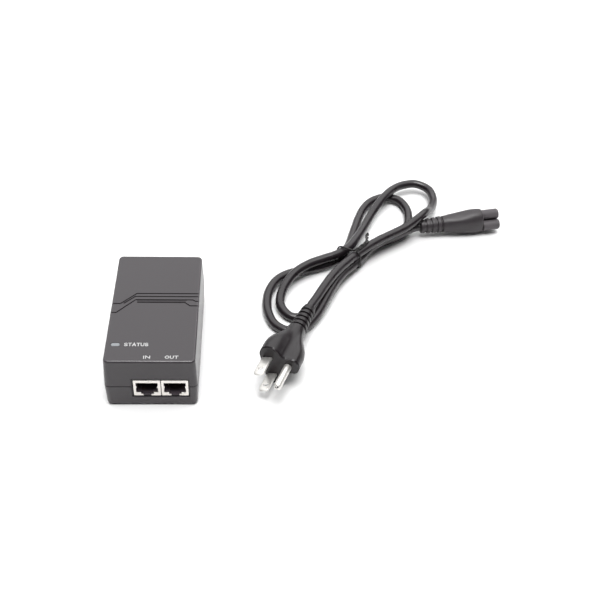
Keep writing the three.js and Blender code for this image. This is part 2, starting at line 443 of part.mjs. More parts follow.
// connector frame: axis runs from the cord to the nose tip, two lobes rest on the floor
const C_END = ROUTE[0].clone();
const C_TIP = new THREE.Vector3(238.2, 127.1, 9.05);
const cu = C_TIP.clone().sub(C_END).normalize();
const C_LEN = 58.6;
const cUp = new THREE.Vector3(0, 0.67, 0.74);
cUp.addScaledVector(cu, -cUp.dot(cu)).normalize();
const cSide = new THREE.Vector3().crossVectors(cu, cUp);      // points down and away from the two visible lobes
function frameRing(pts, origin, u, a, b, s) {
  return pts.map(([x, y]) => {
    const v = origin.clone().addScaledVector(u, s).addScaledVector(a, x).addScaledVector(b, y);
    return [v.x, v.y, v.z];
  });
}
function polar(n, f) {
  const out = [];
  for (let i = 0; i < n; i++) { const a = (i / n) * Math.PI * 2; const r = f(a); out.push([r * Math.cos(a), r * Math.sin(a)]); }
  return out;
}
// mains plug frame: pA points out of the face, pW towards the earth pin, pN across the flat blades
const P_M = new THREE.Vector3(70.2, -28.65, 13.48);
const pA = new THREE.Vector3(-0.361, -0.932, 0.031).normalize();
const pW = new THREE.Vector3(0.9, -0.34, 0.271);
pW.addScaledVector(pA, -pW.dot(pA)).normalize();
const pN = new THREE.Vector3().crossVectors(pA, pW);
if (pN.z < 0) pN.negate();
const P_END = ROUTE[ROUTE.length - 1].clone();

// flex: straight for a moment at both mouths, then along the route
{
  const pts = ROUTE.map((p) => p.clone());
  const inA = pts[0].clone().addScaledVector(cu, -2.6);
  const inB = P_END.clone().addScaledVector(pA, -2.6);
  const path = [pts[0], inA, ...pts.slice(1, -1), inB, pts[pts.length - 1]];
  const curve = new THREE.CatmullRomCurve3(path, false, 'centripetal');
  curve.arcLengthDivisions = 1600;
  const sec = new THREE.Shape();
  for (let i = 0; i < 8; i++) {
    const a = (i + 0.5) / 8 * Math.PI * 2;
    if (i === 0) sec.moveTo(CORD_R * Math.cos(a), CORD_R * Math.sin(a)); else sec.lineTo(CORD_R * Math.cos(a), CORD_R * Math.sin(a));
  }
  sec.closePath();
  add('power_cord', new THREE.ExtrudeGeometry(sec, { steps: 80, extrudePath: curve, bevelEnabled: false }), 'cord_pvc');
}

// cloverleaf connector: ribbed strain relief and grip in one moulding, nose as its own insert
{
  const N = 20;
  const tri = (a) => {                   // soft three-cornered grip section, corners over the lobes
    const c = Math.cos(3 * (a - Math.PI / 2 + Math.PI / 3));
    return 1 + 0.055 * c;
  };
  const rings = [];
  const put = (s, r, k) => rings.push(frameRing(polar(N, (a) => r * (1 + (tri(a) - 1) * k)), C_END, cu, cSide, cUp, s));
  let s = 0.3;
  put(s, 4.2, 0);
  for (let i = 0; i < 4; i++) {
    const r = 4.9 + i * 0.28;
    put(s + 0.5, r, 0); put(s + 2.5, r, 0); put(s + 2.9, r - 1.0, 0); put(s + 3.7, r - 1.0, 0);
    s += 4.1;
  }
  for (const [q, r, k] of [[17.6, 5.9, 0.2], [22, 6.6, 0.5], [28, 7.4, 0.8], [34, 8.2, 1], [39, 8.75, 1], [43.0, 8.6, 1], [45.4, 8.2, 1], [46.1, 7.5, 1]]) put(q, r, k);
  add('connector_overmould', skin(rings), 'connector_plastic');
  const tip = clover(LOBE_R, 12).map(([x, y]) => [x, y]);
  const nc = C_END.clone().addScaledVector(cUp, -0.9);
  const nose = skin([[46.4, 1], [57.4, 1], [58.2, 0.95], [C_LEN, 0.87]].map(([q, k]) => frameRing(tip.map(([x, y]) => [x * k, y * k]), nc, cu, cUp, cSide, q)));
  let body = toMan(nose);
  for (const [x, y] of [[LOBE_X, LOBE_UP], [-LOBE_X, LOBE_UP], [0, LOBE_DOWN]]) {
    const hole = skin([[51, 1], [C_LEN + 2, 1]].map(([q]) => frameRing(polar(10, () => 1.45).map(([a, b]) => [a + x, b + y]), nc, cu, cUp, cSide, q)));
    body = body.subtract(toMan(hole));
  }
  add('connector_nose', body, 'connector_plastic');
}

// mains plug: three-lobed grip tapering to a ribbed strain relief
{
  const N = 28, c0 = [5.2, 0];
  // half outline of the face in (ground direction, blade direction): earth lobe, valley, blade lobe, back
  const HALF = [[18.9, 0], [18.5, 2.1], [17.4, 4.0], [15.5, 5.3], [13.2, 6.2], [11.2, 7.3], [9.3, 9.0], [7.6, 11.2], [5.4, 13.0], [2.4, 13.9],
    [-0.9, 13.6], [-3.2, 12.3], [-4.5, 9.8], [-4.7, 5.0], [-4.7, 0]];
  const lobed = (a) => {                 // distance from c0 to the outline in direction a
    const d = [Math.cos(a), Math.abs(Math.sin(a))];
    for (let i = 0; i + 1 < HALF.length; i++) {
      const p = [HALF[i][0] - c0[0], HALF[i][1]], q = [HALF[i + 1][0] - c0[0], HALF[i + 1][1]];
      const cp = d[0] * p[1] - d[1] * p[0], cq = d[0] * q[1] - d[1] * q[0];
      if (cp <= 1e-9 && cq >= -1e-9) {
        const t = cp === cq ? 0 : cp / (cp - cq);
        const x = p[0] + t * (q[0] - p[0]), y = p[1] + t * (q[1] - p[1]);
        return Math.hypot(x, y);
      }
    }
    return 9.8;
  };
  const NECK = 6.1;
  const rings = [];
  const put = (s, f, wc) => rings.push(frameRing(polar(N, f), P_M.clone().addScaledVector(pW, wc), pA, pW, pN, -s));
  put(0, (a) => lobed(a) - 0.7, 5.2);
  put(0.7, lobed, 5.2);
  for (const [s, k] of [[8, 1], [11, 0.96], [14, 0.87], [17, 0.72], [20, 0.54], [23, 0.37], [26, 0.22], [29, 0.1], [32, 0.02]]) {
    put(s, (a) => NECK + (lobed(a) - NECK) * k, 5.2 - 0.4 * (1 - k));
  }
  const wAt = (s) => 5.1 + 0.62 * Math.max(0, (s - 33) / 24.2);
  let s = 36.2;
  const pEndLocal = P_END.clone().sub(P_M);
  const endS = -pEndLocal.dot(pA), endW = pEndLocal.dot(pW), endN = pEndLocal.dot(pN);
  const centre = (q) => { const t = Math.min(1, Math.max(0, (q - 30) / (endS - 30))); return [5.2 + (endW - 5.2) * t * t, endN * t * t]; };
  const putC = (q, r) => { const [w, n] = centre(q); rings.push(frameRing(polar(N, () => r), P_M.clone().addScaledVector(pW, w).addScaledVector(pN, n), pA, pW, pN, -q)); };
  for (let i = 0; i < 5; i++) {
    const r = 5.7 - i * 0.27;
    putC(s, r - 1.0); putC(s + 0.7, r - 1.0); putC(s + 1.1, r); putC(s + 3.2, r);
    s += 4.1;
  }
  putC(endS - 0.3, 4.1);
  add('plug_overmould', skin(rings.reverse()), 'overmould_pvc');
  // flat blades, bevelled at the tip, with a detent hole each
  const BL = 16.0, BW = 3.15, BT = 0.75;
  const blade = (n0) => {
    const at = (s, hw, ht) => frameRing([[hw, ht], [-hw, ht], [-hw, -ht], [hw, -ht]].map(([w, n]) => [w, n + n0]), P_M, pA, pW, pN, s);
    let g = toMan(skin([at(GAP, BW, BT), at(BL - 1.6, BW, BT), at(BL - 0.5, BW - 0.5, BT * 0.75), at(BL, BW - 1.1, BT * 0.45)]));
    const hole = skin([[-3, 0], [3, 0]].map(([q]) => polar(12, () => 1.7).map(([a, b]) => {
      const v = P_M.clone().addScaledVector(pA, 10.6 + a).addScaledVector(pW, b).addScaledVector(pN, n0 + q);
      return [v.x, v.y, v.z];
    })));
    return g.subtract(toMan(hole));
  };
  add('plug_blade_line', blade(6.35), 'blade_nickel');
  add('plug_blade_neutral', blade(-6.35), 'blade_nickel');
  // round earth pin, folded from sheet: an open slot runs along its underside
  const ring = (s, r) => frameRing(polar(14, () => r).map(([w, n]) => [w + 11.9, n]), P_M, pA, pW, pN, s);
  let pin = toMan(skin([ring(GAP, 2.4), ring(17.6, 2.4), ring(18.7, 2.05), ring(19.2, 1.5)]));
  const slot = skin([frameRing([[11.9 + 0.28, 0.2], [11.9 - 0.28, 0.2], [11.9 - 0.28, -4], [11.9 + 0.28, -4]], P_M, pA, pW, pN, 3), frameRing([[11.9 + 0.28, 0.2], [11.9 - 0.28, 0.2], [11.9 - 0.28, -4], [11.9 + 0.28, -4]], P_M, pA, pW, pN, 22)]);
  pin = pin.subtract(toMan(slot));
  for (const w of [-0.95, 0.95]) {
    const hole = skin([15.5, 22].map((q) => frameRing(polar(8, () => 0.5).map(([a, b]) => [a + 11.9 + w, b + 0.45]), P_M, pA, pW, pN, q)));
    pin = pin.subtract(toMan(hole));
  }
  add('plug_ground_pin', pin, 'blade_nickel');
}

// twist tie: one coated wire round the bundle, its two ends twisted together
{
  const b = new THREE.Vector3(0.6112, 0.7915, 0).normalize();      // along the bundle
  const q = new THREE.Vector3(b.y, -b.x, 0);
  const curve0 = new THREE.CatmullRomCurve3(ROUTE, false, 'centripetal');
  const pts = curve0.getPoints(1500), centres = [];
  for (let i = 1; i < pts.length; i++) {
    const d0 = pts[i - 1].clone().sub(TIE_AT), d1 = pts[i].clone().sub(TIE_AT);
    const f0 = d0.dot(b), f1 = d1.dot(b);
    if (f0 * f1 <= 0 && Math.abs(d1.dot(q)) < 20) centres.push([d1.dot(q), pts[i].z]);
  }
  const off = CORD_R + 0.45 + TIE_R;
  const cloud = [];
  for (const [x, z] of centres) for (let i = 0; i < 32; i++) { const a = i / 32 * Math.PI * 2; cloud.push([x + off * Math.cos(a), z + off * Math.sin(a)]); }
  cloud.sort((m, n) => m[0] - n[0] || m[1] - n[1]);
  const cross = (o, m, n) => (m[0] - o[0]) * (n[1] - o[1]) - (m[1] - o[1]) * (n[0] - o[0]);
  const half = (list) => { const h = []; for (const p of list) { while (h.length > 1 && cross(h[h.length - 2], h[h.length - 1], p) <= 0) h.pop(); h.push(p); } h.pop(); return h; };
  const hull = half(cloud).concat(half(cloud.slice().reverse()));
  const loop = hull.concat([hull[0]]);
  const len = [0];
  for (let i = 1; i < loop.length; i++) len.push(len[i - 1] + Math.hypot(loop[i][0] - loop[i - 1][0], loop[i][1] - loop[i - 1][1]));
  const total = len[len.length - 1];
  const at = (d) => { d = ((d % total) + total) % total; let i = 1; while (len[i] < d) i++; const t = (d - len[i - 1]) / (len[i] - len[i - 1]); return [loop[i - 1][0] + t * (loop[i][0] - loop[i - 1][0]), loop[i - 1][1] + t * (loop[i][1] - loop[i - 1][1])]; };
  const TAIL = '127.38,74.93,17.98;130.75,78.61,17.64;133.71,81.58,17.73;136.17,84.21,17.92;137.71,87.12,17.89;138.58,92.62,15.80;138.48,95.56,15.60;139.83,97.79,15.80'
    .split(';').map((s) => new THREE.Vector3(...s.split(',').map(Number)));
  const knotX = TAIL[0].clone().sub(TIE_AT).dot(q);
  let top = 0, bestD = 1e9;
  for (let d = 0; d < total; d += 0.2) { const [x, z] = at(d); if (z > 9 && Math.abs(x - knotX) < bestD) { bestD = Math.abs(x - knotX); top = d; } }
  const P3 = ([x, z], k) => TIE_AT.clone().addScaledVector(q, x).addScaledVector(b, k).setZ(z);
  const spine = new THREE.CatmullRomCurve3(TAIL, false, 'centripetal');
  const HR = 0.64, TURNS = 2.75, STEPS = 30;
  const helix = (phase) => {
    const out = [];
    for (let i = 0; i <= STEPS; i++) {
      const t = i / STEPS, a = phase + t * Math.PI * 2 * TURNS;
      const c = spine.getPoint(0.1 + 0.9 * t), d = spine.getTangent(0.1 + 0.9 * t);
      const s1 = new THREE.Vector3(0, 0, 1).cross(d).normalize(), s2 = new THREE.Vector3().crossVectors(d, s1);
      out.push(c.addScaledVector(s1, HR * Math.cos(a)).addScaledVector(s2, HR * Math.sin(a)));
    }
    return out;
  };
  const around = [];
  const n = 34;
  for (let i = 1; i < n; i++) around.push(P3(at(top + (i / n) * total), 0));
  let best = null;
  for (let k = 0; k < 8; k++) {
    const h0 = helix(k * Math.PI / 4), h1 = helix(k * Math.PI / 4 + Math.PI);
    const cost = h0[0].distanceTo(around[0]) + h1[0].distanceTo(around[around.length - 1]);
    if (!best || cost < best.cost) best = { cost, h0, h1 };
  }
  const curve = new THREE.CatmullRomCurve3([...best.h0.reverse(), ...around, ...best.h1], false, 'centripetal');
  curve.arcLengthDivisions = 900;
  const sec = new THREE.Shape();
  for (let i = 0; i < 6; i++) { const a = i / 6 * Math.PI * 2; if (i === 0) sec.moveTo(TIE_R * Math.cos(a), TIE_R * Math.sin(a)); else sec.lineTo(TIE_R * Math.cos(a), TIE_R * Math.sin(a)); }
  sec.closePath();
  add('twist_tie', new THREE.ExtrudeGeometry(sec, { steps: 104, extrudePath: curve, bevelEnabled: false }), 'tie_pvc');
}

export default root;
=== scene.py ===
import bpy, bmesh, math, json
from mathutils import Vector, Matrix


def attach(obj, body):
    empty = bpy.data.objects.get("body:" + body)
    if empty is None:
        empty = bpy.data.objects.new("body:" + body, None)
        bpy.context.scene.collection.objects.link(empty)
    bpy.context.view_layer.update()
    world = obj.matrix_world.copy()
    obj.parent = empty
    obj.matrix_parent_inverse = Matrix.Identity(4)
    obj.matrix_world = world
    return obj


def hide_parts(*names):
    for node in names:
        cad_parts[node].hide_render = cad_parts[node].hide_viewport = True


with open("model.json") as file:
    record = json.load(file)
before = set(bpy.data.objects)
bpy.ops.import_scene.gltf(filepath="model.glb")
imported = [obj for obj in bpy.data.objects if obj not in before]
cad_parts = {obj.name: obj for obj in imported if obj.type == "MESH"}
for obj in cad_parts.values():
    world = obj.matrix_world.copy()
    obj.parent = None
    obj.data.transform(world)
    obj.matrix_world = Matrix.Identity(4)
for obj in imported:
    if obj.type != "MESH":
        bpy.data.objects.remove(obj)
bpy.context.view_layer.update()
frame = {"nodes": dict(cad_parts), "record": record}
MM = 0.001
V = Vector

SUN, SUN_ANGLE, SUN_FROM = 2.25, 32.0, (0.05, -0.18, 1.0)      # key: a soft box overhead
FILL, FILL_ANGLE, FILL_FROM, SKY = 2.75, 92.0, (0.06, 0.56, 1.0), 0.11   # broad bright ceiling leaning back, dim horizon

# ------------------------------------------------------------------ camera
F_PX, PITCH, YAW, ROLL = 1008.70677, 0.73329, -0.05875, 0.04476
CAM_POS = V((61.25098, -455.31648, 452.31759)) * MM
fwd = V((-math.sin(YAW) * math.cos(PITCH), math.cos(YAW) * math.cos(PITCH), -math.sin(PITCH)))
right0 = V((math.cos(YAW), math.sin(YAW), 0))
up0 = right0.cross(fwd)
right = math.cos(ROLL) * right0 + math.sin(ROLL) * up0
up = -math.sin(ROLL) * right0 + math.cos(ROLL) * up0
cam_data = bpy.data.cameras.new("camera")
cam_data.sensor_width = 36.0
cam_data.sensor_fit = "HORIZONTAL"
cam_data.lens = F_PX / 600.0 * 36.0
cam_data.clip_start, cam_data.clip_end = 0.01, 50.0
cam = bpy.data.objects.new("camera", cam_data)
bpy.context.collection.objects.link(cam)
m = Matrix((
    (right.x, up.x, -fwd.x, CAM_POS.x),
    (right.y, up.y, -fwd.y, CAM_POS.y),
    (right.z, up.z, -fwd.z, CAM_POS.z),
    (0, 0, 0, 1)))
cam.matrix_world = m
bpy.context.scene.camera = cam

# ------------------------------------------------------------------ materials
def srgb(v):
    v /= 255.0
    return v / 12.92 if v <= 0.04045 else ((v + 0.055) / 1.055) ** 2.4


def material(name, base, rough=0.5, metal=0.0, grain=900.0, bump=0.15, depth=0.00004, vary=0.12, rvary=0.08,
             spec=0.5, coat=0.0, blotch=60.0, stretch=(1, 1, 1), detail=4.0, alpha=1.0, trans=0.0, speckle=None):
    """Procedural finish: fine grain in the surface, slow blotches in colour and gloss."""
    mt = bpy.data.materials.new(name)
    mt.use_nodes = True
    nt = mt.node_tree
    for n in list(nt.nodes):
        nt.nodes.remove(n)
    out = nt.nodes.new("ShaderNodeOutputMaterial")
    bs = nt.nodes.new("ShaderNodeBsdfPrincipled")
    nt.links.new(bs.outputs["BSDF"], out.inputs["Surface"])
    tc = nt.nodes.new("ShaderNodeTexCoord")
    mp = nt.nodes.new("ShaderNodeMapping")
    mp.inputs["Scale"].default_value = stretch
    nt.links.new(tc.outputs["Object"], mp.inputs["Vector"])
    fine = nt.nodes.new("ShaderNodeTexNoise")
    fine.inputs["Scale"].default_value = grain
    fine.inputs["Detail"].default_value = detail
    fine.inputs["Roughness"].default_value = 0.6
    nt.links.new(mp.outputs["Vector"], fine.inputs["Vector"])
    slow = nt.nodes.new("ShaderNodeTexNoise")
    slow.inputs["Scale"].default_value = blotch
    slow.inputs["Detail"].default_value = 3.0
    nt.links.new(tc.outputs["Object"], slow.inputs["Vector"])
    mixf = nt.nodes.new("ShaderNodeMath")
    mixf.operation = "MULTIPLY_ADD"
    nt.links.new(fine.outputs["Fac"], mixf.inputs[0])
    mixf.inputs[1].default_value = 0.6
    half = nt.nodes.new("ShaderNodeMath")
    half.operation = "MULTIPLY"
    nt.links.new(slow.outputs["Fac"], half.inputs[0])
    half.inputs[1].default_value = 0.4
    nt.links.new(half.outputs[0], mixf.inputs[2])
    ramp = nt.nodes.new("ShaderNodeValToRGB")
    lo = [max(0.0, c * (1 - vary)) for c in base]
    hi = [min(1.0, c * (1 + vary)) for c in base]
    ramp.color_ramp.elements[0].position = 0.3
    ramp.color_ramp.elements[0].color = (*lo, 1)
    ramp.color_ramp.elements[1].position = 0.7
    ramp.color_ramp.elements[1].color = (*hi, 1)
    nt.links.new(mixf.outputs[0], ramp.inputs["Fac"])
    nt.links.new(ramp.outputs["Color"], bs.inputs["Base Color"])
    rr = nt.nodes.new("ShaderNodeMapRange")
    rr.inputs["From Min"].default_value = 0.3
    rr.inputs["From Max"].default_value = 0.7
    rr.inputs["To Min"].default_value = max(0.02, rough - rvary)
    rr.inputs["To Max"].default_value = min(1.0, rough + rvary)
    nt.links.new(slow.outputs["Fac"], rr.inputs["Value"])
    nt.links.new(rr.outputs["Result"], bs.inputs["Roughness"])
    bp = nt.nodes.new("ShaderNodeBump")
    bp.inputs["Strength"].default_value = bump
    bp.inputs["Distance"].default_value = depth
    nt.links.new(fine.outputs["Fac"], bp.inputs["Height"])
    nt.links.new(bp.outputs["Normal"], bs.inputs["Normal"])
    bs.inputs["Metallic"].default_value = metal
    bs.inputs["Specular IOR Level"].default_value = spec
    bs.inputs["Coat Weight"].default_value = coat
    bs.inputs["Coat Roughness"].default_value = 0.12
    bs.inputs["Transmission Weight"].default_value = trans
    if speckle:
        scale, colour, amount = speckle
        vo = nt.nodes.new("ShaderNodeTexVoronoi")
        vo.inputs["Scale"].default_value = scale
        nt.links.new(tc.outputs["Object"], vo.inputs["Vector"])
        cr = nt.nodes.new("ShaderNodeValToRGB")
        cr.color_ramp.elements[0].position = 0.0
        cr.color_ramp.elements[0].color = (1, 1, 1, 1)
        cr.color_ramp.elements[1].position = amount
        cr.color_ramp.elements[1].color = (0, 0, 0, 1)
        nt.links.new(vo.outputs["Distance"], cr.inputs["Fac"])
        mx = nt.nodes.new("ShaderNodeMix")
        mx.data_type = "RGBA"
        nt.links.new(cr.outputs["Color"], mx.inputs["Factor"])
        nt.links.new(ramp.outputs["Color"], mx.inputs["A"])
        mx.inputs["B"].default_value = (*colour, 1)
        nt.links.new(mx.outputs["Result"], bs.inputs["Base Color"])
    return mt


MAT = {
    "case_plastic": material("case_plastic", (0.0405, 0.0352, 0.0395), 0.30, grain=2600, bump=0.30, depth=0.00003, vary=0.0, rvary=0.0, spec=0.5),
    # painted highlight: a lighter, glossier copy of the case plastic for the lid's rim
    "case_rim_highlight": material("case_rim_highlight", (0.078, 0.070, 0.076), 0.22, grain=2600, bump=0.2, depth=0.00002, vary=0.25, rvary=0.06, spec=0.55, blotch=140),
    # darker copy of the case plastic: painted shade in the grooves, and the band's own tone
    "case_band_and_groove_shade": material("case_band_and_groove_shade", (0.028, 0.024, 0.027), 0.42, grain=3200, bump=0.3, depth=0.00002, vary=0.10, rvary=0.04, spec=0.30),
    # darker copy of the case plastic: painted shade for the socket window's recessed face
    "case_recess_shade": material("case_recess_shade", (0.030, 0.026, 0.029), 0.42, grain=2600, bump=0.25, depth=0.00002, vary=0.08, rvary=0.04),
    "clear_plastic": material("clear_plastic", (0.23, 0.245, 0.26), 0.34, grain=1500, bump=0.1, vary=0.06, coat=0.3),
    "led_epoxy": material("led_epoxy", (0.72, 0.80, 0.84), 0.2, grain=1200, bump=0.05, vary=0.05, coat=0.5),
    "rubber_black": material("rubber_black", (0.02, 0.02, 0.021), 0.8, grain=1400, bump=0.5, depth=0.00008, vary=0.2),
    "screw_steel": material("screw_steel", (0.45, 0.45, 0.46), 0.32, 1.0, grain=2200, bump=0.2, vary=0.15, stretch=(1, 1, 0.2)),
    "pcb_laminate": material("pcb_laminate", (0.02, 0.14, 0.05), 0.35, grain=700, bump=0.25, vary=0.3, blotch=240, coat=0.3, speckle=(420, (0.55, 0.50, 0.40), 0.09)),
    "insulation_paper": material("insulation_paper", (0.58, 0.53, 0.36), 0.85, grain=1600, bump=0.4, vary=0.12),
    "shield_nickel": material("shield_nickel", (0.78, 0.75, 0.71), 0.30, 1.0, grain=1500, bump=0.10, depth=0.00002, vary=0.06, rvary=0.08, stretch=(0.15, 1, 1)),
    "socket_plastic": material("socket_plastic", (0.056, 0.043, 0.053), 0.6, grain=2200, bump=0.25, vary=0.2),
    "contact_gold": material("contact_gold", (0.75, 0.52, 0.18), 0.25, 1.0, grain=2500, bump=0.08, vary=0.08, stretch=(1, 0.1, 1)),
    "pin_nickel": material("pin_nickel", (0.74, 0.72, 0.69), 0.24, 1.0, grain=2000, bump=0.1, vary=0.08, stretch=(1, 0.1, 1)),
    "ceramic_body": material("ceramic_body", (0.66, 0.62, 0.52), 0.55, grain=1200, bump=0.3, vary=0.1),
    "capacitor_sleeve": material("capacitor_sleeve", (0.02, 0.022, 0.03), 0.3, grain=900, bump=0.1, vary=0.2, coat=0.4),
    "film_capacitor": material("film_capacitor", (0.62, 0.43, 0.05), 0.4, grain=1000, bump=0.2, vary=0.1, coat=0.2),
    "epoxy_package": material("epoxy_package", (0.015, 0.015, 0.017), 0.55, grain=2400, bump=0.4, vary=0.2),
    "ferrite": material("ferrite", (0.045, 0.045, 0.048), 0.7, grain=1800, bump=0.5, vary=0.2),
    "copper_winding": material("copper_winding", (0.55, 0.20, 0.06), 0.3, 1.0, grain=900, bump=0.6, depth=0.0002, vary=0.2, stretch=(1, 4, 1)),
    "heatsink_aluminium": material("heatsink_aluminium", (0.70, 0.71, 0.73), 0.35, 1.0, grain=1400, bump=0.2, vary=0.08, stretch=(0.1, 1, 1)),
    "cord_pvc": material("cord_pvc", (0.0130, 0.0095, 0.0118), 0.30, grain=1400, bump=0.12, depth=0.00004, vary=0.18, rvary=0.07, spec=0.6, blotch=90),
    "overmould_pvc": material("overmould_pvc", (0.0120, 0.0090, 0.0108), 0.36, grain=2200, bump=0.30, depth=0.00004, vary=0.15, rvary=0.06, spec=0.5),
    "connector_plastic": material("connector_plastic", (0.034, 0.0285, 0.032), 0.46, grain=2200, bump=0.30, depth=0.00004, vary=0.15, rvary=0.06, spec=0.5),
    "blade_nickel": material("blade_nickel", (0.80, 0.785, 0.755), 0.42, 0.82, grain=1600, bump=0.10, depth=0.00002, vary=0.06, rvary=0.08, stretch=(1, 0.3, 1)),
    "nose_plastic": material("nose_plastic", (0.086, 0.077, 0.083), 0.55, grain=2200, bump=0.25, depth=0.00003, vary=0.10, rvary=0.05, spec=0.4),
    # painted shade: dark grey metal for the rims of the blade holes
    "blade_hole_rim_shade": material("blade_hole_rim_shade", (0.36, 0.33, 0.30), 0.55, 1.0, grain=1600, bump=0.10, depth=0.00002, vary=0.10),
    "tie_pvc": material("tie_pvc", (0.012, 0.011, 0.011), 0.45, grain=1600, bump=0.2, vary=0.15),
    "print_white": material("print_white", (0.50, 0.50, 0.50), 0.55, grain=2600, bump=0.3, depth=0.00002, vary=0.06),
}

# ------------------------------------------------------------------ mesh helpers (millimetres in, metres out)
def new_obj(name, verts, faces, mat, smooth=30.0):
    me = bpy.data.meshes.new(name)
    me.from_pydata([tuple(V(v) * MM) for v in verts], [], faces)
    bm = bmesh.new()
    bm.from_mesh(me)
    bmesh.ops.recalc_face_normals(bm, faces=bm.faces)
    bm.to_mesh(me)
    bm.free()
    if mat:
        me.materials.append(MAT[mat] if isinstance(mat, str) else mat)
    ob = bpy.data.objects.new(name, me)
    bpy.context.collection.objects.link(ob)
    shade(ob, smooth)
    return ob


def shade(ob, angle):
    me = ob.data
    for p in me.polygons:
        p.use_smooth = True
    me.set_sharp_from_angle(angle=math.radians(angle))


def skin(name, rings, mat=None, smooth=30.0, closed=True, tip=None):
    """Closed surface through rings of equal count."""
    n = len(rings[0])
    verts = [p for r in rings for p in r]
    faces = []
    for k in range(len(rings) - 1):
        for i in range(n):
            a, b = k * n + i, k * n + (i + 1) % n
            faces.append((a, b, b + n, a + n))
    if closed:
        faces.append(tuple(range(n - 1, -1, -1)))
        faces.append(tuple(range((len(rings) - 1) * n, len(rings) * n)))
    return new_obj(name, verts, faces, mat, smooth)


def box(name, x0, x1, y0, y1, z0, z1, mat=None):
    r = lambda z: [(x1, y1, z), (x0, y1, z), (x0, y0, z), (x1, y0, z)]
    return skin(name, [r(z0), r(z1)], mat)


def prism(name, pts, lo, hi, plane="xy", mat=None, smooth=30.0, taper=0.0):
    def at(p, h):
        return {"xy": (p[0], p[1], h), "xz": (p[0], h, p[1]), "yz": (h, p[0], p[1])}[plane]
    return skin(name, [[at(p, lo) for p in pts], [at(p, hi) for p in pts]], mat, smooth)


def lathe(name, prof, centre, axis="z", n=32, mat=None, smooth=35.0):
    """prof: (radius, height) pairs from bottom to top; radius 0 ends are closed."""
    rings = []
    for r, h in prof:
        r = max(r, 1e-3)
        ring = []
        for i in range(n):
            a = 2 * math.pi * i / n
            c, s = r * math.cos(a), r * math.sin(a)
            p = {"z": (c, s, h), "y": (c, h, s), "x": (h, c, s)}[axis]
            ring.append((p[0] + centre[0], p[1] + centre[1], p[2] + centre[2]))
        rings.append(ring)
    return skin(name, rings, mat, smooth)


def boolean(base, tools, op="DIFFERENCE", smooth=30.0):
    for t in tools:
        md = base.modifiers.new("b", "BOOLEAN")
        md.solver = "EXACT"
        md.operation = op
        md.object = t
        md.use_self = False
    dg = bpy.context.evaluated_depsgraph_get()
    me = bpy.data.meshes.new_from_object(base.evaluated_get(dg), preserve_all_data_layers=True, depsgraph=dg)
    old = base.data
    base.modifiers.clear()
    base.data = me
    for t in tools:
        d = t.data
        bpy.data.objects.remove(t)
        bpy.data.meshes.remove(d)
    bpy.data.meshes.remove(old)
    shade(base, smooth)
    return base


def bevel(ob, width, segs=2, angle=40.0, smooth=40.0):
    md = ob.modifiers.new("bevel", "BEVEL")
    md.width = width * MM
    md.segments = segs
    md.limit_method = "ANGLE"
    md.angle_limit = math.radians(angle)
    md.use_clamp_overlap = True
    md.miter_outer = "MITER_ARC"
    dg = bpy.context.evaluated_depsgraph_get()
    me = bpy.data.meshes.new_from_object(ob.evaluated_get(dg), preserve_all_data_layers=True, depsgraph=dg)
    old = ob.data
    ob.modifiers.clear()
    ob.data = me
    bpy.data.meshes.remove(old)
    shade(ob, smooth)
    return ob


def ring_rr(hw, hd, r, n=10, cx=0, cy=0):
    pts = []
    for q, (x, y) in enumerate([(hw - r, hd - r), (-(hw - r), hd - r), (-(hw - r), -(hd - r)), (hw - r, -(hd - r))]):
        for i in range(n + 1):
            a = (q + i / n) * math.pi / 2
            pts.append((cx + x + r * math.cos(a), cy + y + r * math.sin(a)))
    return pts


def pill(cx, cy, w, d, n=12):
    r, pts = d / 2, []
    for i in range(n + 1):
        a = -math.pi / 2 + math.pi * i / n
        pts.append((cx + w / 2 - r + r * math.cos(a), cy + r * math.sin(a)))
    for i in range(n + 1):
        a = math.pi / 2 + math.pi * i / n
        pts.append((cx - w / 2 + r + r * math.cos(a), cy + r * math.sin(a)))
    return pts


def strip(line, w):
    """Outline of a polyline of constant width."""
    L, R = [], []
    for i, p in enumerate(line):
        a, b = line[max(0, i - 1)], line[min(len(line) - 1, i + 1)]
        d1 = V((p[0] - a[0], p[1] - a[1])).normalized() if i else None
        d2 = V((b[0] - p[0], b[1] - p[1])).normalized() if i < len(line) - 1 else None
        t = (d1 + d2).normalized() if d1 and d2 else (d1 or d2)
        nn = V((-t.y, t.x))
        ref = d1 or d2
        k = (w / 2) / max(0.3, abs(nn.dot(V((-ref.y, ref.x)))))
        L.append((p[0] + nn.x * k, p[1] + nn.y * k))
        R.append((p[0] - nn.x * k, p[1] - nn.y * k))
    return R + L[::-1]


def inside(poly, x, y):
    c, j = False, len(poly) - 1
    for i in range(len(poly)):
        xi, yi, xj, yj = *poly[i], *poly[j]
        if (yi > y) != (yj > y) and x < (xj - xi) * (y - yi) / (yj - yi) + xi:
            c = not c
        j = i
    return c


def paint(ob, mat, test):
    """Faces whose centre (mm) and normal pass the test take another material."""
    ob.data.materials.append(MAT[mat])
    k = len(ob.data.materials) - 1
    for p in ob.data.polygons:
        if test(p.center / MM, p.normal):
            p.material_index = k


def crisp(ob):
    """Flat walls keep their own normals, so no shading runs from a rounded edge across them."""
    bm = bmesh.new()
    bm.from_mesh(ob.data)
    bm.normal_update()
    for e in bm.edges:
        if len(e.link_faces) == 2:
            a, b = [max(abs(c) for c in f.normal) > 0.9985 for f in e.link_faces]
            if a != b:
                e.smooth = False
    for f in bm.faces:
        if max(abs(c) for c in f.normal) > 0.9985:
            f.smooth = False
    bm.to_mesh(ob.data)
    bm.free()


def finish_piece(ob, body, nodes):
    if body == "power_lead":
        ob.data.transform(Matrix.Translation(LEAD_AT * MM))
    if nodes:
        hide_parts(*nodes)
    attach(ob, body)
    return ob


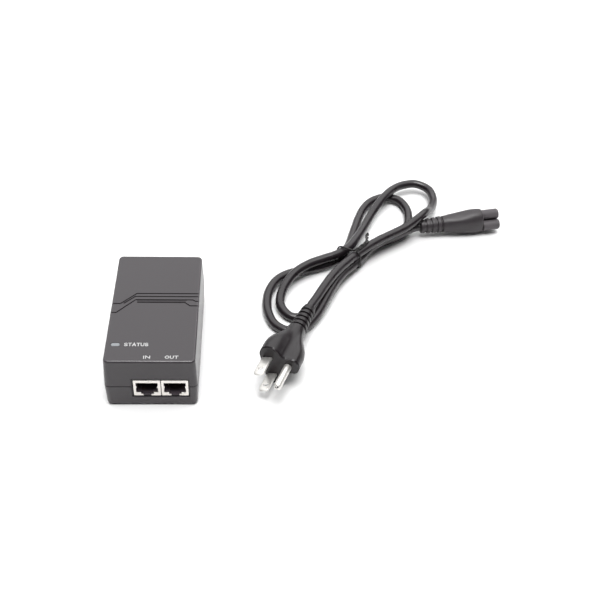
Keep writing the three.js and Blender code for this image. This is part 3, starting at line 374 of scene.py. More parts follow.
# ------------------------------------------------------------------ lead: route, cord and what is on it
CORD_R = 3.05
TIE_AT = V((125.65, 80.05, 0))
LIFT, LIFT_R = 1.4, 13.0
ROUTE = [V([float(c) for c in p.split(",")]) for p in "179.03,116.98,7.20;169.32,111.32,8.34;159.84,105.15,8.41;150.25,99.16,8.12;141.54,92.02,7.37;134.50,83.34,5.72;127.59,74.41,5.97;120.97,65.32,7.20;115.39,55.52,7.89;110.65,45.26,8.16;106.24,34.84,8.11;101.30,24.79,6.68;94.29,16.28,4.42;84.08,12.30,2.93;74.37,17.43,3.41;69.78,27.65,4.12;68.72,38.88,4.19;70.43,50.03,4.30;75.28,60.18,4.66;83.78,67.51,4.55;94.11,72.00,3.67;104.59,76.22,3.24;114.45,81.72,3.55;122.50,89.55,3.98;127.14,99.82,4.22;130.26,110.69,3.96;133.23,121.59,3.46;136.39,132.44,3.10;140.41,143.00,2.99;146.82,152.25,3.19;156.76,157.20,3.73;167.34,154.15,3.74;172.76,144.44,3.18;173.12,133.19,3.01;170.69,122.16,3.05;164.83,112.65,2.96;155.37,106.48,3.01;145.61,100.79,2.99;136.74,93.79,2.86;129.11,85.45,2.86;122.40,76.35,2.92;116.44,66.74,2.92;111.44,56.61,2.97;106.97,46.21,3.00;102.49,35.83,3.01;95.64,27.00,2.90;84.86,25.71,3.15;78.05,34.09,4.46;78.34,45.23,5.87;82.56,55.49,7.84;89.31,64.32,9.78;98.13,71.32,10.47;108.03,76.78,10.38;117.91,82.25,10.10;126.05,90.02,10.04;131.81,99.73,9.85;136.51,109.97,8.89;140.70,120.42,7.81;145.20,130.78,7.96;150.64,140.60,9.27;156.78,150.03,10.37;163.42,159.13,9.70;171.45,166.88,8.10;182.15,169.86,7.42;191.62,164.53,6.13;193.66,153.61,5.80;191.56,142.67,7.57;187.72,132.58,10.88;182.73,123.33,15.03;176.25,114.33,16.58;167.85,106.94,15.15;158.38,100.86,14.10;148.99,94.57,13.72;139.90,87.90,12.86;131.39,80.56,11.71;124.26,71.85,12.56;117.75,62.67,13.60;111.75,53.10,14.00;106.28,43.20,13.67;101.18,33.12,13.27;96.10,23.01,13.23".split(";")]
for p in ROUTE:
    rise = LIFT * math.exp(-((p.x - TIE_AT.x) ** 2 + (p.y - TIE_AT.y) ** 2) / (2 * LIFT_R * LIFT_R))
    p.x -= 0.15 * rise
    p.y -= 1.2 * rise
    p.z = max(p.z, CORD_R + 0.05) + rise
ROUTE[0].z += 0.45
C_END = ROUTE[0].copy()
C_TIP = V((238.2, 127.1, 9.05))
cu = (C_TIP - C_END).normalized()
C_LEN = 58.6
c_up = V((0, 0.67, 0.74))
c_up = (c_up - cu * c_up.dot(cu)).normalized()
c_side = cu.cross(c_up)
P_M = V((70.2, -28.65, 13.48))
pA = V((-0.361, -0.932, 0.031)).normalized()
pW = V((0.9, -0.34, 0.271))
pW = (pW - pA * pW.dot(pA)).normalized()
pN = pA.cross(pW)
if pN.z < 0:
    pN = -pN
P_END = ROUTE[-1].copy()
LEAD_AT = V((-0.28, 0.15, 0))     # where the lead, drawn in its own frame, is laid down


def catmull(pts, per=6):
    """Centripetal Catmull-Rom through the points."""
    out = []
    P = [2 * pts[0] - pts[1]] + pts + [2 * pts[-1] - pts[-2]]
    for i in range(1, len(P) - 2):
        p0, p1, p2, p3 = P[i - 1:i + 3]
        t0 = 0.0
        t1 = t0 + max(1e-6, (p1 - p0).length) ** 0.5
        t2 = t1 + max(1e-6, (p2 - p1).length) ** 0.5
        t3 = t2 + max(1e-6, (p3 - p2).length) ** 0.5
        for k in range(per):
            t = t1 + (t2 - t1) * k / per
            a1 = p0 * ((t1 - t) / (t1 - t0)) + p1 * ((t - t0) / (t1 - t0))
            a2 = p1 * ((t2 - t) / (t2 - t1)) + p2 * ((t - t1) / (t2 - t1))
            a3 = p2 * ((t3 - t) / (t3 - t2)) + p3 * ((t - t2) / (t3 - t2))
            b1 = a1 * ((t2 - t) / (t2 - t0)) + a2 * ((t - t0) / (t2 - t0))
            b2 = a2 * ((t3 - t) / (t3 - t1)) + a3 * ((t - t1) / (t3 - t1))
            out.append(b1 * ((t2 - t) / (t2 - t1)) + b2 * ((t - t1) / (t2 - t1)))
    out.append(pts[-1].copy())
    return out


def curve_obj(name, pts, radius, mat, res=5):
    cd = bpy.data.curves.new(name, "CURVE")
    cd.dimensions = "3D"
    cd.bevel_depth = radius * MM
    cd.bevel_resolution = res
    cd.use_fill_caps = True
    sp = cd.splines.new("POLY")
    sp.points.add(len(pts) - 1)
    for q, p in zip(sp.points, pts):
        q.co = (p.x * MM, p.y * MM, p.z * MM, 1)
    cd.materials.append(MAT[mat])
    ob = bpy.data.objects.new(name, cd)
    bpy.context.collection.objects.link(ob)
    sp.use_smooth = True
    return ob


cord_line = [ROUTE[0], C_END - cu * 2.6] + ROUTE[1:-1] + [P_END - pA * 2.6, ROUTE[-1]]
cord_pts = catmull(cord_line, 5)
cord = curve_obj("cord", cord_pts, CORD_R, "cord_pvc", 6)
cord.data.transform(Matrix.Translation(LEAD_AT * MM))
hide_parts("power_cord")
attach(cord, "power_lead")


def frame_ring(pts, o, u, a, b, s):
    return [o + u * s + a * x + b * y for x, y in pts]


def polar(n, f):
    out = []
    for i in range(n):
        a = 2 * math.pi * i / n
        r = f(a)
        out.append((r * math.cos(a), r * math.sin(a)))
    return out


def interp(table, s):
    """Smooth (monotone cubic) interpolation of (s, value) pairs."""
    if s <= table[0][0]:
        return table[0][1]
    if s >= table[-1][0]:
        return table[-1][1]
    n = len(table)
    d = [(table[i + 1][1] - table[i][1]) / (table[i + 1][0] - table[i][0]) for i in range(n - 1)]
    mm = [d[0]] + [0.0 if d[i - 1] * d[i] <= 0 else 2 * d[i - 1] * d[i] / (d[i - 1] + d[i]) for i in range(1, n - 1)] + [d[-1]]
    for i in range(n - 1):
        if s <= table[i + 1][0]:
            h = table[i + 1][0] - table[i][0]
            t = (s - table[i][0]) / h
            return ((2 * t ** 3 - 3 * t ** 2 + 1) * table[i][1] + (t ** 3 - 2 * t ** 2 + t) * h * mm[i]
                    + (-2 * t ** 3 + 3 * t ** 2) * table[i + 1][1] + (t ** 3 - t ** 2) * h * mm[i + 1])


def ribs(s0, pitch, count, r_of, land, edge=0.28):
    """(s, r) pairs of a ribbed sleeve: rounded ribs with grooves between."""
    out = []
    for i in range(count):
        a, b = s0 + i * pitch, s0 + i * pitch + land
        g = s0 + (i + 1) * pitch
        for k in range(4):
            q = k / 3 * math.pi / 2
            out.append((a + edge * (1 - math.cos(q)), r_of(a) - 1.0 + (1.0 - edge) + edge * math.sin(q)))
        for k in range(4):
            q = k / 3 * math.pi / 2
            out.append((b - edge * (1 - math.sin(q)), r_of(b) - edge * (1 - math.cos(q))))
        if i < count - 1:
            out.append((b + 0.05, r_of(b) - 0.95))
            out.append((g - 0.05, r_of(g) - 0.95))
    return out


# connector: ribbed strain relief growing into the grip
LOBE_X, LOBE_UP, LOBE_DOWN, LOBE_R = 4.0, 2.0, -3.8, 3.5
N = 72
c_prof = [(0.3, 3.7), (0.35, 4.0)] + ribs(0.55, 4.1, 4, lambda s: 4.85 + s * 0.068, 2.6) + [(16.2, 4.95), (16.6, 4.95)]
c_shape = [(16.9, 5.75), (19.0, 6.1), (22.0, 6.6), (28.0, 7.45), (34.0, 8.25), (39.0, 8.72), (42.5, 8.68), (44.6, 8.45)]
c_k = [(16.9, 0.15), (22.0, 0.5), (30.0, 0.95), (44.6, 1.0)]


def tri(a):
    return 0.055 * math.cos(3 * (a - math.pi / 2 + math.pi / 3))


rings = []
for s, r in c_prof:
    rings.append(frame_ring(polar(N, lambda a: r), C_END, cu, c_side, c_up, s))
s = 16.9
while s < 44.6:
    r, k = interp(c_shape, s), interp(c_k, s)
    # shallow pinch in each side of the grip, for the fingers
    g = math.exp(-((s - 29.0) / 7.5) ** 2)
    rings.append(frame_ring(polar(N, lambda a: r * (1 + tri(a) * k) - 0.85 * g * max(0.0, math.cos(2 * (a - 0.52))) ** 3), C_END, cu, c_side, c_up, s))
    s += 0.7
for q in range(7):
    t = q / 6 * math.pi / 2
    rr = 8.45 - 1.25 * (1 - math.cos(t))
    rings.append(frame_ring(polar(N, lambda a: rr * (1 + tri(a))), C_END, cu, c_side, c_up, 44.7 + 1.4 * math.sin(t)))
conn = skin("connector_body", rings, "connector_plastic", 38)
finish_piece(conn, "power_lead", ["connector_overmould"])


def clover(r, k=40):
    cs = [(LOBE_X, LOBE_UP), (-LOBE_X, LOBE_UP), (0, LOBE_DOWN)]
    pts = []
    n = k * 3
    for i in range(n):
        a = math.pi / 6 + i / n * 2 * math.pi
        d = (math.cos(a), math.sin(a))
        best = 0.0
        for c in cs:
            b = c[0] * d[0] + c[1] * d[1]
            q = b * b - (c[0] ** 2 + c[1] ** 2 - r * r)
            if q > 0:
                best = max(best, b + math.sqrt(q))
        pts.append((d[0] * best, d[1] * best))
    return pts


nc = C_END - c_up * 0.9
prof = [(46.4, 1.0), (57.3, 1.0)] + [(57.3 + 1.3 * math.sin(q / 5 * math.pi / 2), 1.0 - 0.11 * (1 - math.cos(q / 5 * math.pi / 2))) for q in range(1, 6)]
nose = skin("connector_nose_piece", [frame_ring([(x * k, y * k) for x, y in clover(LOBE_R)], nc, cu, c_up, c_side, q) for q, k in prof], "nose_plastic", 38)
holes = []
for x, y in ((LOBE_X, LOBE_UP), (-LOBE_X, LOBE_UP), (0, LOBE_DOWN)):
    cone = [(50.8, 1.42), (58.0, 1.42), (59.4, 2.3)]
    holes.append(skin("h", [frame_ring([(a + x, b + y) for a, b in polar(24, lambda t: r)], nc, cu, c_up, c_side, q) for q, r in cone]))
boolean(nose, holes, smooth=38)
finish_piece(nose, "power_lead", ["connector_nose"])

# plug: three-lobed grip, neck and ribbed strain relief
C0 = (5.2, 0.0)
HALF = [(18.9, 0), (18.5, 2.1), (17.4, 4.0), (15.5, 5.1), (13.0, 5.2), (11.0, 5.7), (9.2, 7.3), (7.6, 10.4), (5.4, 13.0), (2.4, 13.9),
        (-0.9, 13.6), (-3.2, 12.3), (-4.5, 9.8), (-4.7, 5.0), (-4.7, 0)]
half_s = [V((w, n, 0)) for w, n in HALF]
mirror = [V((w, -n, 0)) for w, n in HALF[1:-1]][::-1]
loop = half_s + mirror
fine_outline = catmull([loop[-1]] + loop + [loop[0], loop[1]], 6)
polar_tab = sorted((math.atan2(p.y, p.x - C0[0]) % (2 * math.pi), math.hypot(p.x - C0[0], p.y)) for p in fine_outline)


def lobed(a):
    a %= 2 * math.pi
    lo, hi = 0, len(polar_tab) - 1
    if a <= polar_tab[0][0] or a >= polar_tab[-1][0]:
        (a0, r0), (a1, r1) = polar_tab[-1], polar_tab[0]
        t = ((a - a0) % (2 * math.pi)) / max(1e-9, (a1 - a0) % (2 * math.pi))
        return r0 + (r1 - r0) * t
    while hi - lo > 1:
        mid = (lo + hi) // 2
        if polar_tab[mid][0] <= a:
            lo = mid
        else:
            hi = mid
    (a0, r0), (a1, r1) = polar_tab[lo], polar_tab[hi]
    return r0 + (r1 - r0) * (a - a0) / max(1e-9, a1 - a0)


NP = 120
NECK = 6.1
p_k = [(0.0, 1.0), (8.0, 1.0), (11.0, 0.96), (14.0, 0.87), (17.0, 0.72), (20.0, 0.54), (23.0, 0.37), (26.0, 0.22), (29.0, 0.10), (33.0, 0.0)]
end_l = P_END - P_M
END_S, END_W, END_N = -end_l.dot(pA), end_l.dot(pW), end_l.dot(pN)


def p_centre(q):
    t = min(1.0, max(0.0, (q - 30) / (END_S - 30)))
    return 5.2 + (END_W - 5.2) * t * t, END_N * t * t


rings = []


def p_put(q, f, w, n=0.0):
    rings.append(frame_ring(polar(NP, f), P_M + pW * w + pN * n, pA, pW, pN, -q))


for q in range(6):
    t = q / 5 * math.pi / 2
    p_put(0.75 * (1 - math.sin(t)), lambda a: lobed(a) - 0.75 * (1 - math.sin(t)), 5.2)
rings.reverse()
rings.sort(key=lambda r: (r[0] - P_M).dot(-pA))
s = 1.6
while s < 33.6:
    k = interp(p_k, s)
    p_put(s, lambda a: NECK + (lobed(a) - NECK) * k, 5.2 - 0.4 * (1 - k))
    s += 0.8
sr = ribs(36.2, 4.1, 5, lambda q: 5.75 - (q - 36.2) * 0.066, 2.6)
w34, n34 = p_centre(34.2)
p_put(34.2, lambda a: 6.0, 4.8 + (w34 - 5.2))
p_put(35.0, lambda a: 5.85, 4.85 + (w34 - 5.2))
p_put(35.3, lambda a: 4.9, p_centre(35.3)[0], p_centre(35.3)[1])
p_put(36.1, lambda a: 4.8, *p_centre(36.1))
for q, r in sr:
    p_put(q, lambda a: r, *p_centre(q))
last = sr[-1][0]
if END_S - 0.3 > last + 0.1:
    p_put(END_S - 0.3, lambda a: 4.0, *p_centre(END_S - 0.3))
plug = skin("plug_body", rings, "overmould_pvc", 38)
finish_piece(plug, "power_lead", ["plug_overmould"])


def blade(name, n0, node):
    BL, BW, BT = 16.0, 3.15, 0.75
    prof = [(0.3, BW, BT), (BL - 1.9, BW, BT), (BL - 1.0, BW - 0.25, BT * 0.82), (BL - 0.4, BW - 0.75, BT * 0.6), (BL, BW - 1.3, BT * 0.38)]
    ring = lambda q, hw, ht: frame_ring([(hw, ht), (-hw, ht), (-hw, -ht), (hw, -ht)], P_M + pN * n0, pA, pW, pN, q)
    ob = skin(name, [ring(*p) for p in prof], "blade_nickel", 30)
    hole = skin("h", [[P_M + pA * (10.6 + a) + pW * b + pN * (n0 + q) for a, b in polar(32, lambda t: r)] for q, r in ((-1.4, 2.35), (-0.72, 1.72), (0.72, 1.72), (1.4, 2.35))])
    boolean(ob, [hole])
    bevel(ob, 0.14, 2, 50)
    mid = P_M + pA * 10.6 + pN * n0
    # painted shade: the chamfer and walls round each blade's hole are coloured dark grey
    paint(ob, "blade_hole_rim_shade", lambda c, n: 1.5 < math.hypot((c - mid).dot(pA), (c - mid).dot(pW)) < 2.3 and 0.06 < abs(n.dot(pN)) < 0.97)
    finish_piece(ob, "power_lead", [node])
    return ob


blade_l = blade("blade_line", 6.35, "plug_blade_line")
blade_n = blade("blade_neutral", -6.35, "plug_blade_neutral")
pin_prof = [(0.3, 2.4), (17.3, 2.4), (18.0, 2.32), (18.6, 2.1), (19.0, 1.78), (19.2, 1.3)]
pin = skin("earth_pin", [frame_ring([(a + 11.9, b) for a, b in polar(40, lambda t: r)], P_M, pA, pW, pN, q) for q, r in pin_prof], "blade_nickel", 35)
cuts = [skin("h", [frame_ring([(11.9 + 0.26, 0.2), (11.9 - 0.26, 0.2), (11.9 - 0.26, -4), (11.9 + 0.26, -4)], P_M, pA, pW, pN, q) for q in (3, 22)])]
for w in (-0.78, 0.78):
    cuts.append(skin("h", [frame_ring([(a + 11.9 + w, b + 0.55) for a, b in polar(16, lambda t: 0.56)], P_M, pA, pW, pN, q) for q in (15.5, 22)]))
boolean(pin, cuts, smooth=35)
# painted shade: the walls and floor of the two holes in the earth pin's end take the near-black epoxy finish
paint(pin, "epoxy_package", lambda c, n: (c - P_M).dot(pA) > 15.4 and min(math.hypot((c - P_M).dot(pW) - 11.9 - w, (c - P_M).dot(pN) - 0.55) for w in (-0.78, 0.78)) < 0.57 and (abs(n.dot(pA)) < 0.5 or (c - P_M).dot(pA) < 15.6))
finish_piece(pin, "power_lead", ["plug_ground_pin"])

# twist tie
TIE_R = 0.6
tb = V((0.6112, 0.7915, 0)).normalized()
tq = V((tb.y, -tb.x, 0))
centres = []
for p0, p1 in zip(cord_pts, cord_pts[1:]):
    f0, f1 = (p0 - TIE_AT).dot(tb), (p1 - TIE_AT).dot(tb)
    if f0 * f1 <= 0 and abs((p1 - TIE_AT).dot(tq)) < 20:
        t = f0 / (f0 - f1) if f0 != f1 else 0
        c = p0.lerp(p1, t)
        centres.append(((c - TIE_AT).dot(tq), c.z))
off = CORD_R + 0.85
cloud = sorted((x + off * math.cos(i / 48 * 2 * math.pi), z + off * math.sin(i / 48 * 2 * math.pi)) for x, z in centres for i in range(48))


def half_hull(pts):
    h = []
    for p in pts:
        while len(h) > 1 and (h[-1][0] - h[-2][0]) * (p[1] - h[-2][1]) - (h[-1][1] - h[-2][1]) * (p[0] - h[-2][0]) <= 0:
            h.pop()
        h.append(p)
    h.pop()
    return h


hull = half_hull(cloud) + half_hull(cloud[::-1])
lp = hull + [hull[0]]
ln = [0.0]
for a, b in zip(lp, lp[1:]):
    ln.append(ln[-1] + math.hypot(b[0] - a[0], b[1] - a[1]))
total = ln[-1]


def hull_at(d):
    d %= total
    i = 1
    while ln[i] < d:
        i += 1
    t = (d - ln[i - 1]) / (ln[i] - ln[i - 1])
    return lp[i - 1][0] + t * (lp[i][0] - lp[i - 1][0]), lp[i - 1][1] + t * (lp[i][1] - lp[i - 1][1])


TAIL = [V([float(c) for c in p.split(",")]) for p in "127.38,74.93,17.98;130.75,78.61,17.64;133.71,81.58,17.73;136.17,84.21,17.92;137.71,87.12,17.89;138.58,92.62,15.80;138.48,95.56,15.60;139.83,97.79,15.80".split(";")]
knot = (TAIL[0] - TIE_AT).dot(tq)
top = min((abs(hull_at(d * 0.2)[0] - knot), d * 0.2) for d in range(int(total / 0.2)) if hull_at(d * 0.2)[1] > 9)[1]
spine = catmull(TAIL, 12)
HR, TURNS, STEPS = 0.66, 2.75, 60


def helix(phase):
    out = []
    m_ = len(spine) - 1
    for i in range(STEPS + 1):
        t = i / STEPS
        f = (0.1 + 0.9 * t) * m_
        k = min(m_ - 1, int(f))
        c = spine[k].lerp(spine[k + 1], f - k)
        d = (spine[min(m_, k + 1)] - spine[max(0, k - 1)]).normalized()
        s1 = V((0, 0, 1)).cross(d).normalized()
        s2 = d.cross(s1)
        a = phase + t * 2 * math.pi * TURNS
        out.append(c + s1 * (HR * math.cos(a)) + s2 * (HR * math.sin(a)))
    return out


around = []
for i in range(1, 44):
    x, z = hull_at(top + i / 44 * total)
    p = TIE_AT + tq * x
    around.append(V((p.x, p.y, z)))
best = None
for k in range(8):
    h0, h1 = helix(k * math.pi / 4), helix(k * math.pi / 4 + math.pi)
    cost = (h0[0] - around[0]).length + (h1[0] - around[-1]).length
    if best is None or cost < best[0]:
        best = (cost, h0, h1)
tie_line = catmull(best[1][::-1][::2] + around + best[2][::2], 4)
tie = curve_obj("tie_wire", tie_line, TIE_R, "tie_pvc", 4)
finish_piece(tie, "power_lead", ["twist_tie"])

# ------------------------------------------------------------------ case
W, L, H = 54.7, 97.1, 36.0
CORNER, EDGE, WALL, BASE_Z, PART_Z, SEAM, GAP = 2.9, 1.3, 2.0, 0.7, 16.0, 0.3, 0.3
DRAFT_TOP, DRAFT_BASE = 0.86, 0.43
WIN = dict(x0=-11.45, x1=22.65, z0=7.1, z1=22.8, y=-47.75)
JZ0, JZ1, JY0, JY1, JT = 6.4, 19.2, -46.6, -26.5, 0.5     # sockets are drawn here, then set at JACK_AT
JACK_AT = V((0, -1.35, 1.6))
JACK_X = {"lan": -2.44, "poe": 13.96}
SCREWS = [(-20.5, -20), (20.5, -20), (-20.5, 24), (20.5, 24)]
FEET = [(-19, -40), (19, -40), (-19, 40), (19, 40)]
LED = (-20.48, -33.55, 5.2, 2.5)
ICZ, IZ0, IZ1, IY1, IDEPTH, IW = 17.0, 9.0, 25.5, 48.1, 13.0, 20.0


def lean(z):
    return DRAFT_TOP * (z - PART_Z) / (H - PART_Z) if z > PART_Z else DRAFT_BASE * (PART_Z - z) / (PART_Z - BASE_Z)


def ring_at(inset, z):
    d = inset + lean(z)
    return [(x, y, z) for x, y in ring_rr(W / 2 - d, L / 2 - d, max(0.6, CORNER - inset))]


def edge_rings(z, upw, n=7):
    return [ring_at(EDGE * (1 - math.cos(i / n * math.pi / 2)), z - upw * EDGE * (1 - math.sin(i / n * math.pi / 2))) for i in range(n + 1)]


LIPR = 0.18   # broken edge at the parting line
GROOVES = [
    [(28, 11.25), (-11.88, 11.25), (-21.08, 1.9), (-28, 1.9)],
    [(28, 8.5), (-12.68, 8.5), (-19.18, 2.05)],
    [(28, 4.25), (24.12, 4.25), (22.52, 5.55), (-12.18, 5.55), (-22.88, -6.05), (-28, -6.05)],
    [(-11.18, 3.15), (17.82, 3.15), (20.92, 0.15), (28, 0.15)],
]
BAND = [(-11.4, 3.6), (17.9, 3.6), (19.3, 5.1), (-11.6, 5.1)]


def window_cutter(name="h"):
    pts = ring_rr((WIN["x1"] - WIN["x0"]) / 2, (WIN["z1"] - WIN["z0"]) / 2, 0.7, 5, (WIN["x0"] + WIN["x1"]) / 2, (WIN["z0"] + WIN["z1"]) / 2)
    return prism(name, pts, -52, WIN["y"], "xz")


def jack_cutter():
    return box("h", JACK_X["lan"] - 8.35, JACK_X["poe"] + 8.3, -52, -44, JZ0 + JACK_AT.z - GAP, JZ1 + JACK_AT.z + GAP)


def inlet_cutter():
    return box("h", -IW / 2 - GAP, IW / 2 + GAP, 44, 52, IZ0 - GAP, IZ1 + GAP)


top_c = skin("lid", [ring_at(LIPR, PART_Z + SEAM / 2), ring_at(0, PART_Z + SEAM / 2 + LIPR)] + edge_rings(H, 1), "case_plastic", 30)
tools = [skin("h", [ring_at(WALL, PART_Z - 2), ring_at(WALL, PART_Z), ring_at(WALL, H - WALL)]), jack_cutter(), window_cutter(), inlet_cutter(),
         prism("h", pill(LED[0], LED[1], LED[2] + 0.5, LED[3] + 0.5), H - 6, H + 2)]
for g in GROOVES:
    tools.append(skin("h", [[(x, y, z) for x, y in strip(g, w)] for z, w in ((H - 0.55, 0.56), (H - 0.12, 0.76), (H + 0.2, 1.20))]))
boolean(top_c, tools)
adds = []
for x, y in SCREWS:
    adds.append(lathe("h", [(3.4, PART_Z + 0.35), (3.4, H - WALL + 0.5)], (x, y, 0), n=28))
boolean(top_c, adds, "UNION")
boolean(top_c, [lathe("h", [(1.6, PART_Z - 1), (1.6, 25)], (x, y, 0), n=20) for x, y in SCREWS])


def to_line(line, x, y):
    best = 1e9
    for (ax, ay), (bx, by) in zip(line, line[1:]):
        dx, dy = bx - ax, by - ay
        t = max(0.0, min(1.0, ((x - ax) * dx + (y - ay) * dy) / (dx * dx + dy * dy)))
        best = min(best, math.hypot(x - ax - t * dx, y - ay - t * dy))
    return best


boolean(top_c, [prism("h", BAND, H - 0.07, H + 1)])
# painted shade: the recessed face of the socket window is coloured darker than the case
paint(top_c, "case_recess_shade", lambda c, n: n.y < -0.9 and abs(c.y - WIN["y"]) < 0.05)
# painted shade: the grooves' walls and floors take this darker colour; the floor of the shallow band between grooves 3
# and 4 takes it as its own darker tone
paint(top_c, "case_band_and_groove_shade", lambda c, n: H - 0.62 < c.z < H - 0.03 and min(to_line(g, c.x, c.y) for g in GROOVES) < 0.6 and n.z > -0.5 and abs(c.x) < 25.6
      or abs(c.z - H + 0.07) < 0.02 and n.z > 0.9)
paint(top_c, "case_rim_highlight", lambda c, n: c.z > H - 0.75 and 0.78 < n.z < 0.975 and (abs(c.x) > 25.0 or abs(c.y) > 46.0))   # painted highlight: the upper part of the lid's rounded rim is coloured lighter and glossier, for the bright edge line
crisp(top_c)
finish_piece(top_c, "brick", ["top_cover"])

bot_c = skin("tray", edge_rings(BASE_Z, -1)[::-1] + [ring_at(0, PART_Z - SEAM / 2 - LIPR), ring_at(LIPR, PART_Z - SEAM / 2)], "case_plastic", 30)
boolean(bot_c, [skin("h", [ring_at(WALL, BASE_Z + WALL), ring_at(WALL, PART_Z), ring_at(WALL, PART_Z + 2)]), jack_cutter(), window_cutter(), inlet_cutter()])
adds = [lathe("h", [(3.9, BASE_Z + WALL - 0.5), (3.9, PART_Z - 0.35)], (x, y, 0), n=28) for x, y in SCREWS]
adds += [lathe("h", [(1.4, BASE_Z + WALL - 0.5), (1.4, 5.7)], (x, y, 0), n=16) for x, y in [(-21.8, -38), (21.8, -38), (-21.8, 38), (21.8, 38), (-21.8, 4), (21.8, 4)]]
boolean(bot_c, adds, "UNION")
cuts = []
for x, y in SCREWS:
    cuts += [lathe("h", [(3.5, -0.1), (3.1, 1.1), (3.1, 4.2)], (x, y, 0), n=32), lathe("h", [(1.6, -2), (1.6, PART_Z + 2)], (x, y, 0), n=20)]
for x, y in FEET:
    cuts.append(lathe("h", [(4.8, -2), (4.8, BASE_Z + 0.6)], (x, y, 0), n=40))
boolean(bot_c, cuts)
# painted shade: the recessed face of the socket window is coloured darker than the case
paint(bot_c, "case_recess_shade", lambda c, n: n.y < -0.9 and abs(c.y - WIN["y"]) < 0.05)
crisp(bot_c)
finish_piece(bot_c, "brick", ["bottom_cover"])

cname = lambda x, y: ("front" if y < 0 else "rear") + "_" + ("left" if x < 0 else "right")
for x, y in FEET:
    prof = [(0.0, 0.0), (3.55, 0.0)] + [(3.55 + 0.55 * math.sin(q / 5 * math.pi / 2), 0.45 * (1 - math.cos(q / 5 * math.pi / 2))) for q in range(1, 6)] + [(4.4, 0.6), (4.4, 1.0), (0.0, 1.0)]
    f = lathe("rubber_foot_" + cname(x, y), prof, (x, y, 0), n=48, mat="rubber_black")
    finish_piece(f, "brick", ["foot_" + cname(x, y)])
for x, y in SCREWS:
    prof = [(0.0, 1.95), (1.3, 1.98), (2.2, 2.2), (2.65, 2.65), (2.75, 3.1), (2.75, 3.9), (1.3, 3.9), (1.3, 4.4)]
    z = 4.4
    while z < 18.5:
        prof += [(1.05, z + 0.15), (1.35, z + 0.5), (1.05, z + 0.85)]
        z += 1.0
    prof += [(0.7, 19.4), (0.1, 20.0)]
    sc = lathe("screw_" + cname(x, y), prof, (x, y, 0), n=28, mat="screw_steel")
    cross = [box("h", x - 0.42, x + 0.42, y - 1.7, y + 1.7, 1.5, 2.95), box("h", x - 1.7, x + 1.7, y - 0.42, y + 0.42, 1.5, 2.95)]
    boolean(sc, cross)
    finish_piece(sc, "brick", ["case_screw_" + cname(x, y)])

# light pipe with a slightly domed window
lp_rings = []
for z, k in [(H - 3.4, 0.0), (H - 0.14, 0.0), (H - 0.03, 0.06), (H + 0.01, 0.2)]:
    lp_rings.append([(x, y, z) for x, y in pill(LED[0], LED[1], LED[2] - 2 * k * 0.8, LED[3] - 2 * k * 0.8)])
pipe = skin("light_window", lp_rings, "clear_plastic", 40)
boolean(pipe, [lathe("h", [(1.2, 13.8), (1.2, H - 3.2)], (LED[0], LED[1], 0), n=24)], "UNION", 40)
finish_piece(pipe, "brick", ["light_pipe"])

# ------------------------------------------------------------------ network sockets
def t_open(cx, bump, low=5.6, grow=0.0):
    r = [(6.45, 17.0), (6.45, 14.6)]
    if bump:
        r += [(6.3, 14.3), (6.05, 13.9), (5.95, 13.4), (6.05, 12.9), (6.3, 12.5)]
    r += [(6.45, 12.2), (6.45, 9.2), (3.7, 9.2), (3.7, 7.7), (2.45, 7.7), (2.45, low)]
    r = [(x + grow, z) for x, z in r]
    pts = r + [(-x, z) for x, z in r[::-1]]
    return [(x + cx, z) for x, z in pts]


for key, cx in JACK_X.items():
    outer = ring_rr(8.0, (JZ1 - JZ0) / 2, 0.45, 4, cx, (JZ0 + JZ1) / 2)
    inner = ring_rr(8.0 - JT, (JZ1 - JZ0) / 2 - JT, 0.25, 4, cx, (JZ0 + JZ1) / 2)
    lip = ring_rr(8.0 - 0.16, (JZ1 - JZ0) / 2 - 0.16, 0.4, 4, cx, (JZ0 + JZ1) / 2)
    sh = skin(key + "_shield", [[(x, JY0, z) for x, z in lip], [(x, JY0 + 0.16, z) for x, z in outer], [(x, JY1, z) for x, z in outer]], "shield_nickel", 35)
    cuts = [prism("h", inner, JY0 + JT, JY1 + 2, "xz"), prism("h", t_open(cx, True), JY0 - 1, JY0 + 0.9, "xz")]
    boolean(sh, cuts, smooth=35)
    sh.data.transform(Matrix.Translation(JACK_AT * MM))
    finish_piece(sh, "brick", [key + "_jack_shield"])
    hb = box(key + "_insulator", cx - 7.2, cx + 7.2, -45.8, -27.0, 7.2, 18.4, "socket_plastic")
    cuts = [box("h", cx - 6.2, cx + 6.2, -47, -33.0, 9.4, 16.8), box("h", cx - 3.5, cx + 3.5, -47, -34.5, 8.0, 9.6)]
    for i in range(8):
        x = cx - 3.57 + 1.02 * i
        cuts.append(box("h", x - 0.34, x + 0.34, -46.5, -36.0, 16.6, 17.5))
    boolean(hb, cuts)
    boolean(hb, [box("h", cx - 2.35, cx + 2.35, -46.5, -45.0, 6.95, 7.75)], "UNION")
    hb.data.transform(Matrix.Translation(JACK_AT * MM))
    finish_piece(hb, "brick", [key + "_jack_housing"])
    comb = box(key + "_contacts", cx - 4.4, cx + 4.4, -35.6, -33.3, 14.3, 16.5, "socket_plastic")
    wires = []
    for i in range(8):
        x = cx - 3.57 + 1.02 * i
        cl = [(-44.6, 16.3), (-44.0, 16.32), (-43.2, 16.15), (-41, 15.72), (-38.0, 15.1), (-35.2, 14.65)]
        up_, dn = [(a, b + 0.2) for a, b in cl], [(a, b - 0.2) for a, b in cl]
        wires.append(prism("w", dn + up_[::-1], x - 0.22, x + 0.22, "yz", "contact_gold"))
    boolean(comb, wires, "UNION", 30)
    paint(comb, "contact_gold", lambda c, n: c.y < -35.65)
    comb.data.transform(Matrix.Translation(JACK_AT * MM))
    finish_piece(comb, "brick", [key + "_jack_contacts"])

